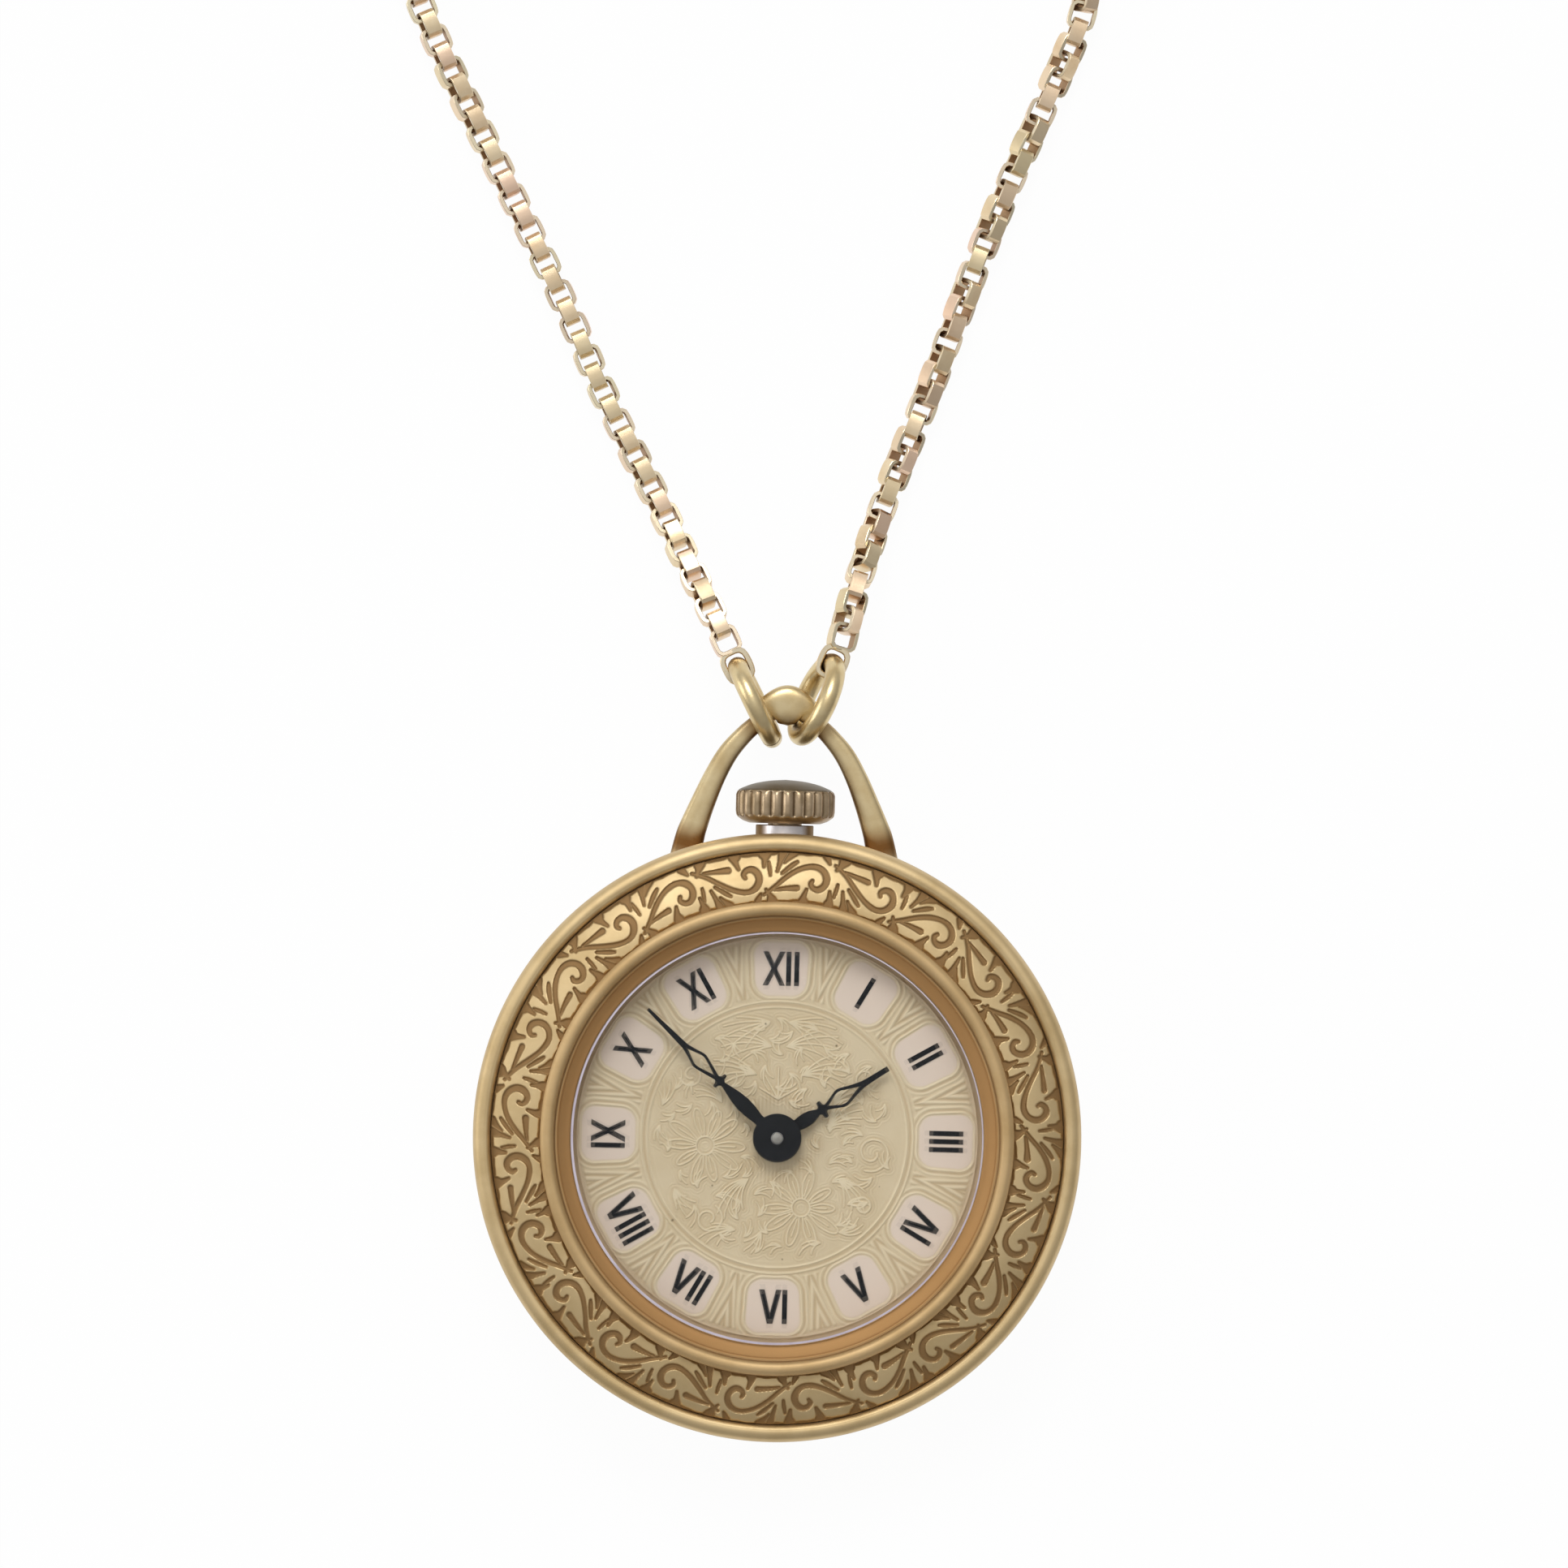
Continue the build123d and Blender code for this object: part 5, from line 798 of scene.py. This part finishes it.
# How far each place lies outside the nearest numeral plate, a rounded and tapered tile
def plateGap(x, y):
    plate = dialPlan["plate"]
    clear = np.full(x.shape, plate["far"])
    for hour in range(12):
        a = radians(90 - 30 * hour)
        across = -x * sin(a) + y * cos(a)
        along = x * cos(a) + y * sin(a) - plate["radius"]
        taper = plate["taper"] * (plate["tip"] - along)
        qx = np.abs(across) - plate["across"] + plate["corner"] + taper
        qy = np.abs(along) - plate["along"] + plate["corner"]
        outside = np.hypot(np.maximum(qx, 0), np.maximum(qy, 0))
        gap = outside + np.minimum(np.maximum(qx, qy), 0) - plate["corner"]
        clear = np.minimum(clear, np.where(along > -plate["radius"], gap, plate["far"]))
    return clear


def dialLayers(x, y, r, t):
    plan, flutes, hatch = dialPlan, dialPlan["flutes"], dialPlan["hatch"]
    strokes = drawField()
    inField = r < plan["field"]
    ridge = np.where(inField, strokeField(x, y, strokes, plan["strokeEdge"]), 0.0)
    near = np.where(inField, strokeField(x, y, strokes, plan["echoReach"]), 0.0)
    echo = 0.5 + 0.5 * np.cos(tau * near * plan["echoes"])
    clear = plateGap(x, y)
    inChapter = (r > plan["chapter"]) & (r < plan["edge"])
    outline = sum(share * bell(clear, at, plan["outlineWidth"]) for share, at in plan["outlines"])
    between = (np.degrees(t) + 15 - 90) % 30 - 15
    side = r * np.sin(np.radians(between))
    outsidePlates = unit((clear - flutes["clear"]) / flutes["fade"])
    flute = 0.5 + 0.5 * np.cos(tau * side / flutes["pitch"])
    flute = flute * outsidePlates * unit((r - flutes["inner"]) / flutes["fade"])
    flute = flute * unit((flutes["outer"] - r) / flutes["end"])
    lines = 0.5 + 0.5 * np.cos(tau * x / hatch["pitch"])
    lines = lines * bell(r, hatch["radius"], hatch["width"])
    upright = np.abs(np.abs(t - pi / 2) - pi / 2) > hatch["free"]
    valleyStart, valleyEnd = plan["valley"]
    slope, start = plan["nearTone"]
    return {
        "ridge": ridge,
        "outline": np.where(inChapter, outline, 0.0),
        "flute": flute,
        "rings": sum(bell(r, at, plan["ringWidth"]) for at in plan["rings"]),
        "hatch": np.where(upright, lines, 0.0),
        "echo": echo * unit(near * plan["echoRise"]) * (1 - ridge),
        "plate": unit(0.5 - clear / plan["plate"]["edge"]),
        "near": unit(near * slope - start) * (1 - ridge),
        "valley": outsidePlates * (r > valleyStart) * (r < valleyEnd) * (1 - flute),
        "seam": bell(clear, *plan["seam"]) * inChapter,
    }


def makeDial():
    plan = dialPlan
    columns = plan["columns"]
    radii = np.concatenate([
        np.arange(plan["inner"], plan["chapter"], plan["step"]),
        np.arange(plan["chapter"], plan["outer"] + 0.01, plan["step"] * plan["coarse"]),
    ])
    turn = np.arange(columns) * tau / columns
    r, t = np.meshgrid(radii, turn, indexing="ij")
    x, y = r * np.cos(t), r * np.sin(t)
    layers = dialLayers(x, y, r, t)

    def blend(shares):
        return sum(share * layers[key] for key, share in shares.items())

    amount, at, width = plan["groove"]
    start, fade, most = plan["shade"]
    speck = np.zeros(r.shape)
    for sx, sy, size in plan["specks"]:
        away = np.hypot(x - sx, y - sy) / size
        speck = np.maximum(speck, unit(plan["speckCore"] - away))
    tones = {
        "high": unit(blend(plan["lights"])) * (1 - layers["plate"]),
        "plate": layers["plate"],
        "low": unit(blend(plan["darks"]) + amount * bell(r, at, width)),
        "speck": speck,
        # Painted shadow of the bezel round the rim of the dial
        "shade": unit((r - start) / fade) * most,
    }
    top = np.stack([x, y, plan["top"] + blend(plan["heights"])], -1)
    low = np.stack([x[[-1, 0]], y[[-1, 0]], np.full((2, columns), plan["bottom"])], -1)
    verts = np.concatenate([top, low]).reshape(-1, 3) * mm
    under = np.zeros((2, columns))
    makePiece(
        "dialFace", verts, gridFaces(len(radii) + 2, columns, closeRows=True),
        "creamLacquer", "watch", ("dial",),
        values={key: np.concatenate([tone, under]) for key, tone in tones.items()},
    )


makeDial()
print("dial ready")


def turned(points, degrees):
    turn = radians(degrees)
    c, s = cos(turn), sin(turn)
    return [(x * c - y * s, x * s + y * c) for x, y in points]


# Flat plates cut from closed outlines, such as hands and numerals
def cutPlate(name, outlines, low, high, bevel, material, body, nodes=()):
    curve = bpy.data.curves.new(name, "CURVE")
    curve.dimensions = "2D"
    curve.fill_mode = "BOTH"
    curve.extrude = ((high - low) / 2 - bevel) * mm
    curve.bevel_depth = bevel * mm
    curve.bevel_resolution = 2
    curve.offset = -bevel * mm
    for outline in outlines:
        spline = curve.splines.new("POLY")
        spline.points.add(len(outline) - 1)
        for point, (x, y) in zip(spline.points, outline):
            point.co = (x * mm, y * mm, 0.0, 1.0)
        spline.use_cyclic_u = True
    holder = addObject(name + "Curve", curve)
    bpy.context.view_layer.update()
    mesh = bpy.data.meshes.new_from_object(holder)
    bpy.data.objects.remove(holder)
    mesh.transform(Matrix.Translation((0, 0, (low + high) / 2 * mm)))
    verts = [tuple(vertex.co) for vertex in mesh.vertices]
    faces = [tuple(face.vertices) for face in mesh.polygons]
    bpy.data.meshes.remove(mesh)
    makePiece(name, verts, faces, material, body, nodes, sharp=30.0)


# Numerals: three letter shapes of even strokes, turned upright in the lower half
numeralPlan = {
    "height": 1.68, "half": 0.122, "arm": 0.42, "slant": 1.12, "radius": 8.34,
    "low": 4.56, "high": 4.598, "bevel": 0.004, "sameGap": 0.4, "otherGap": 0.3,
    "upright": (4, 5, 6, 7, 8),
    "texts": ("XII", "I", "II", "III", "IV", "V", "VI", "VII", "VIII", "IX", "X", "XI"),
}


def letterShape(letter):
    tall, t = numeralPlan["height"] / 2, numeralPlan["half"]
    if letter == "I":
        return [(-t, -tall), (t, -tall), (t, tall), (-t, tall)], 0.0
    w, t = numeralPlan["arm"], t * numeralPlan["slant"]
    if letter == "V":
        s = w / (2 * tall)
        return [(-w - t, tall), (t - w, tall), (0, t / s - tall), (w - t, tall), (w + t, tall),
                (t, -tall), (-t, -tall)], w
    s = w / tall
    half = [(-w - t, tall), (t - w, tall), (0, t / s), (w - t, tall), (w + t, tall), (t, 0)]
    return half + [(-x, -y) for x, y in half], w


def makeNumerals():
    plan = numeralPlan
    outlines = []
    for hour, text in enumerate(plan["texts"]):
        shapes = [letterShape(letter) for letter in text]
        places = [0.0]
        for (before, after), (old, new) in zip(zip(text, text[1:]), zip(shapes, shapes[1:])):
            gap = plan["sameGap"] if before == after else plan["otherGap"]
            places.append(places[-1] + (old[1] + new[1] + gap))
        middle = (places[0] - shapes[0][1] + places[-1] + shapes[-1][1]) / 2
        way = -1 if hour in plan["upright"] else 1
        for (shape, half), place in zip(shapes, places):
            line = [(plan["radius"] + way * y, -way * (x + place - middle)) for x, y in shape]
            outlines.append(turned(line, 90 - 30 * hour))
    cutPlate("numerals", outlines, plan["low"], plan["high"], plan["bevel"], "blackLacquer",
             "watch")


makeNumerals()

# Hands along +X: stations of (distance, half width), then the open loop, in mm
handShape = {"boss": 1.2, "thick": 0.12, "bevel": 0.03, "bossSteps": 80, "holeSteps": 40}
handPlans = {
    "minute": {
        "angle": 136.4, "low": 5.32, "node": "minute_hand", "hole": 0.3,
        "edge": (
            (1.1, 0.24), (1.4, 0.28), (1.9, 0.35), (2.4, 0.37), (2.9, 0.31), (3.4, 0.2),
            (3.75, 0.12), (3.86, 0.2), (3.9, 0.39), (3.98, 0.42), (4.06, 0.4), (4.1, 0.22),
            (4.2, 0.13), (4.6, 0.24), (5.2, 0.4), (5.38, 0.43), (5.52, 0.41), (6.0, 0.26),
            (6.4, 0.16), (7.2, 0.13), (9.0, 0.075),
        ),
        "loop": ((4.42, 0.0), (4.8, 0.13), (5.2, 0.25), (5.38, 0.28), (5.52, 0.26), (5.95, 0.1),
                 (6.2, 0.0)),
    },
    "hour": {
        "angle": 33.4, "low": 5.02, "node": "hour_hand", "hole": 0.74,
        "edge": (
            (1.1, 0.27), (1.4, 0.33), (1.7, 0.35), (2.0, 0.31), (2.3, 0.2), (2.42, 0.15),
            (2.5, 0.22), (2.54, 0.42), (2.64, 0.46), (2.74, 0.43), (2.78, 0.22), (2.86, 0.15),
            (3.1, 0.24), (3.6, 0.45), (3.76, 0.485), (3.92, 0.46), (4.5, 0.28), (5.0, 0.17),
            (5.3, 0.15), (6.46, 0.13),
        ),
        "loop": ((3.0, 0.0), (3.3, 0.16), (3.6, 0.3), (3.76, 0.33), (3.92, 0.31), (4.4, 0.13),
                 (4.75, 0.0)),
    },
}


def makeHand(name, plan):
    edge, inner = plan["edge"], plan["loop"]
    boss = handShape["boss"]
    start = asin(edge[0][1] / boss)
    around = [(boss * cos(a), boss * sin(a))
              for a in np.linspace(start, tau - start, handShape["bossSteps"])]
    outer = list(reversed(edge)) + around + [(d, -h) for d, h in edge]
    hole = [(plan["hole"] * cos(a), plan["hole"] * sin(a))
            for a in np.linspace(0, tau, handShape["holeSteps"], endpoint=False)]
    opening = list(inner) + [(d, -h) for d, h in reversed(inner[1:-1])]
    outlines = [turned(line, plan["angle"]) for line in (outer, hole, opening)]
    cutPlate(name + "Hand", outlines, plan["low"], plan["low"] + handShape["thick"],
             handShape["bevel"], "blackLacquer", name, (plan["node"],))


for name, plan in handPlans.items():
    makeHand(name, plan)
lathe("minutePin", {
    "profile": ((0.001, 5.5), (0.29, 5.5), (0.29, 5.62), (0.25, 5.68), (0.12, 5.7), (0.001, 5.7)),
    "segments": 48,
}, "dullSteel", "minute")
print("hands ready")

# Crown: milled ridges round a band, a domed end and a bored hub
crownPlan = {
    "profile": (
        (0.47, 14.25), (0.84, 14.25), (0.84, 15.5), (1.75, 15.5, 0.05), (2.1, 15.62, 0.1),
        (2.42, 15.85, 0.1), (2.46, 16.1), (2.46, 16.5), (2.46, 16.9), (2.4, 17.06, 0.06),
        (2.25, 17.18, 0.1), (1.7, 17.42, 0.5), (0.9, 17.6, 0.6), (0.001, 17.66), (0.001, 16.95),
        (0.47, 16.95),
    ),
    "segments": 400, "stem": True,
    "ridges": 25, "band": (15.8, 17.12), "bandRadius": 2.1, "depth": 0.15, "fade": 0.1,
    "stain": 1.6, "dome": 0.9, "domeStart": 17.1,
}


def crownRipple(radius, along, turn):
    plan = crownPlan
    low, high = plan["band"]
    if not low < along < high or radius < plan["bandRadius"]:
        return 0.0, 0.0, plan["dome"] if along > plan["domeStart"] else 0.0
    share = min(1.0, (along - low) / plan["fade"], (high - along) / plan["fade"])
    wave = np.abs(np.cos(turn * plan["ridges"] / 2))
    stain = share * unit(0.5 - wave) * plan["stain"]
    return plan["depth"] * share * (wave - 1), stain, 0.0


# Neck: a plain tube with painted shade in brown down both sides
tubePlan = {
    "profile": ((0.92, 13.3), (1.43, 13.3), (1.43, 15.42, 0.06), (0.92, 15.42)),
    # stain sets how steeply and from where the painted shade darkens the sides
    "segments": 120, "stem": True, "stain": (4, 2.3),
}


def tubeSideShade(radius, along, turn):
    slope, start = tubePlan["stain"]
    return 0.0, unit(np.abs(np.cos(turn)) * slope - start), 0.0


lathe("crownKnob", crownPlan, "crownGold", "crown", ("crown",), crownRipple)
lathe("pendantTube", tubePlan, "tubeSilver", "watch", ("pendant_tube",), tubeSideShade)

# Bow: stations of (across, up, width, depth), thick at the feet and swollen to a knob at the top
bowPlan = {
    "stations": (
        (4.95, 13.5, 1.5, 1.2), (4.68, 14.7, 1.44, 1.18), (4.5, 15.3, 1.36, 1.15),
        (4.05, 16.5, 1.2, 1.12), (3.5, 17.8, 1.08, 1.06), (2.87, 18.95, 1.0, 1.02),
        (2.12, 19.85, 0.9, 0.98), (1.45, 20.48, 0.86, 0.96), (1.12, 20.85, 1.04, 1.0),
        (0.9, 21.1, 1.4, 1.1), (0.5, 21.26, 1.78, 1.2), (0.0, 21.34, 2.0, 1.2),
    ),
    "around": 40, "parts": 6, "square": 4,
    "stain": 0.12, "innerShade": 0.9, "stained": ((1.1, 14.4, 1.0), (0.6, 20.3, 1.1)),
}


def makeBow():
    plan = bowPlan
    around, stations = plan["around"], list(plan["stations"])
    line = smoothLine(stations + [(-x, y, w, d) for x, y, w, d in stations[-2::-1]], plan["parts"])
    rows, tarnishAndShade = [], []
    for here, (x, y, width, depth) in enumerate(line):
        before, after = line[max(here - 1, 0)], line[min(here + 1, len(line) - 1)]
        way = Vector((after[0] - before[0], after[1] - before[1])).normalized()
        stain = plan["stain"]
        for most, at, fade in plan["stained"]:
            stain += max(0.0, most - abs(y - at) / fade)
        for step in range(around):
            a = tau * step / around
            out, up = squarePoint(a, plan["square"])
            out, up = out * width / 2, up * depth / 2
            rows.append((x + way.y * out, y - way.x * out, stemHeight + up))
            # Painted shade darkens the inner side of the bow on top of the tarnish
            tarnishAndShade.append(min(1.0, stain + plan["innerShade"] * max(0.0, -cos(a)) ** 2))
    makePiece("bowLoop", np.array(rows) * mm, tubeFaces(len(line), around),
              "wireGold", "watch", ("bow",), values={"tarnishAndShade": tarnishAndShade})


makeBow()

# Jump rings: round wire with a closed joint, each as (place, lean, twist, angle of the joint)
ringPlan = {
    "rings": (((-1.62, 21.45), 27.0, -2.0, 250.0), ((1.41, 21.67), -22.5, 16.0, 70.0)),
    "major": 1.95, "minor": 0.5, "gap": 0.02, "segments": 96, "around": 24,
}


def ringVerts(place, lean, twist, joint):
    plan = ringPlan
    verts = []
    for step in range(plan["segments"] + 1):
        span = (tau - 2 * plan["gap"]) * step / plan["segments"]
        a = radians(joint) + plan["gap"] + span
        for part in range(plan["around"]):
            b = tau * part / plan["around"]
            reach = plan["major"] + plan["minor"] * cos(b)
            verts.append((reach * cos(a), reach * sin(a), plan["minor"] * sin(b)))
    spin = (Matrix.Rotation(radians(lean), 3, "Z")
            @ Matrix.Rotation(radians(twist), 3, "Y")
            @ Matrix.Rotation(pi / 2, 3, "Y"))
    return np.array(verts) @ np.array(spin).T + np.array([*place, stemHeight])


verts = np.concatenate([ringVerts(*ring) for ring in ringPlan["rings"]])
rows, around = ringPlan["segments"] + 1, ringPlan["around"]
faces = tubeFaces(rows, around) + tubeFaces(rows, around, first=rows * around)
makePiece("jumpRings", verts * mm, faces, "wireGold", "chain", ("jump_rings",))

# End links: short loops that hold the chain to the far side of each jump ring
endPlan = {
    "halfWidth": 0.74, "halfLength": 0.62, "strip": 0.8, "thick": 0.3, "edge": 0.06,
    "square": 3.5, "reach": 2.0,
}


shape = linkLoop(endPlan)
verts = []
for (x, y), lean, twist, joint in ringPlan["rings"]:
    turn = radians(lean)
    far = (x - endPlan["reach"] * sin(turn), y + endPlan["reach"] * cos(turn))
    spin = np.array(Matrix.Rotation(turn, 3, "Z"))
    verts.append(shape @ spin.T + np.array([*far, stemHeight]) * mm)
makePiece(
    "endLinks", np.concatenate(verts), np.concatenate([linkFaces, linkFaces + len(shape)]),
    "chainGold", "chain", ("end_links",), sharp=25.0, values=linkTones(2),
)
print("crown, bow and rings ready")

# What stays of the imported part: movement and clasp, each with its own metal
nodeMaterials = {
    "plateNickel": (
        "main_plate", "barrel_bridge", "train_bridge", "balance_cock", "pallet_cock",
        "movement_holder",
    ),
    "wheelBrass": (
        "barrel", "barrel_cover", "centre_wheel", "third_wheel", "fourth_wheel",
        "balance_wheel", "minute_wheel", "hour_wheel",
    ),
    "toolSteel": (
        "winding_stem", "winding_pinion", "sliding_pinion", "centre_pinion", "third_pinion",
        "fourth_pinion", "escape_wheel", "escape_pinion", "pallet_fork", "balance_staff",
        "regulator", "ratchet_wheel", "crown_wheel", "click", "click_spring", "setting_lever",
        "yoke", "cannon_pinion", "setting_wheel", "movement_screws", "case_clamps",
        "barrel_arbor", "mainspring", "hairspring",
    ),
    "ruby": ("jewels", "pallet_stones"),
    "chainGold": ("clasp_ring", "clasp_bolt", "clasp_tag", "clasp_links"),
}
for material, names in nodeMaterials.items():
    for name in names:
        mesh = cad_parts[name].data
        mesh.materials.clear()
        mesh.materials.append(materials[material])

# White sweep and soft light: the floor shows white to the camera and keeps a faint shadow
stagePlan = {
    "floorSize": 4.0, "floorDrop": 0.02, "paper": (0.9, 0.9, 0.9, 1.0),
    "white": (1.0, 1.0, 1.0, 1.0), "shownWhite": 0.96, "brightFrom": (-0.1, 0.5, 0.86),
    "room": ((0.0, 0.35), (0.4, 0.45), (0.8, 0.62), (0.93, 0.8), (1.0, 0.9)),
    "aim": (0.0, 0.01, 0.0),
    "lights": {
        "light": {"place": (-0.12, 0.7, 0.85), "size": 0.42, "power": 4.5},
        "card": {"place": (-0.8, 0.1, 0.3), "size": 0.45, "power": 1.5},
    },
}
floorMesh = bpy.data.meshes.new("floor")
half = stagePlan["floorSize"] / 2
corners = [(-half, -half, 0), (half, -half, 0), (half, half, 0), (-half, half, 0)]
floorMesh.from_pydata(corners, [], [(0, 1, 2, 3)])
floor = addObject("floor", floorMesh)
floor.location = (0.0, 0.0, -stagePlan["floorDrop"] * mm)
white = bpy.data.materials.new("whitePaper")
white.use_nodes = True
tree = white.node_tree
tree.nodes.remove(tree.nodes["Principled BSDF"])
rays = addNode(tree, "LightPath").outputs
seen = addNode(tree, "Math", {0: rays["Is Camera Ray"], 1: rays["Is Glossy Ray"]},
               operation="ADD").outputs[0]
seen = addNode(tree, "Math", {0: seen, 1: rays["Is Transmission Ray"]},
               operation="ADD", use_clamp=True).outputs[0]
share = addNode(tree, "Math", {0: seen, 1: stagePlan["shownWhite"]}, operation="MULTIPLY")
paper = addNode(tree, "BsdfDiffuse", {"Color": stagePlan["paper"]})
glow = addNode(tree, "Emission", {"Color": stagePlan["white"], "Strength": 1.0})
both = addNode(tree, "MixShader", {
    0: share.outputs[0], 1: paper.outputs[0], 2: glow.outputs[0],
})
setInputs(tree, tree.nodes["Material Output"], {"Surface": both.outputs[0]})
floorMesh.materials.append(white)

world = bpy.data.worlds.new("softRoom")
scene.world = world
world.use_nodes = True
tree = world.node_tree
tree.nodes.clear()
way = addNode(tree, "TexCoord").outputs["Generated"]
lean = addNode(tree, "VectorMath", {0: way, 1: stagePlan["brightFrom"]},
               operation="DOT_PRODUCT")
ramp = addNode(tree, "ValToRGB", {"Fac": lean.outputs["Value"]})
for extra in stagePlan["room"][2:]:
    ramp.color_ramp.elements.new(0.5)
for element, (place, value) in zip(ramp.color_ramp.elements, stagePlan["room"]):
    element.position = place
    element.color = (value, value, value, 1.0)
room = addNode(tree, "Background", {"Color": ramp.outputs["Color"], "Strength": 1.0})
backdrop = addNode(tree, "Background", {"Color": stagePlan["white"], "Strength": 1.0})
rays = addNode(tree, "LightPath").outputs
both = addNode(tree, "MixShader", {
    0: rays["Is Camera Ray"], 1: room.outputs[0], 2: backdrop.outputs[0],
})
addNode(tree, "OutputWorld", {"Surface": both.outputs[0]})

for name, plan in stagePlan["lights"].items():
    lightData = bpy.data.lights.new(name, "AREA")
    lightData.size = plan["size"]
    lightData.energy = plan["power"]
    softbox = addObject(name, lightData)
    softbox.location = plan["place"]
    aim = Vector(stagePlan["aim"]) - softbox.location
    softbox.rotation_euler = aim.to_track_quat("-Z", "Y").to_euler()
print("stage ready")
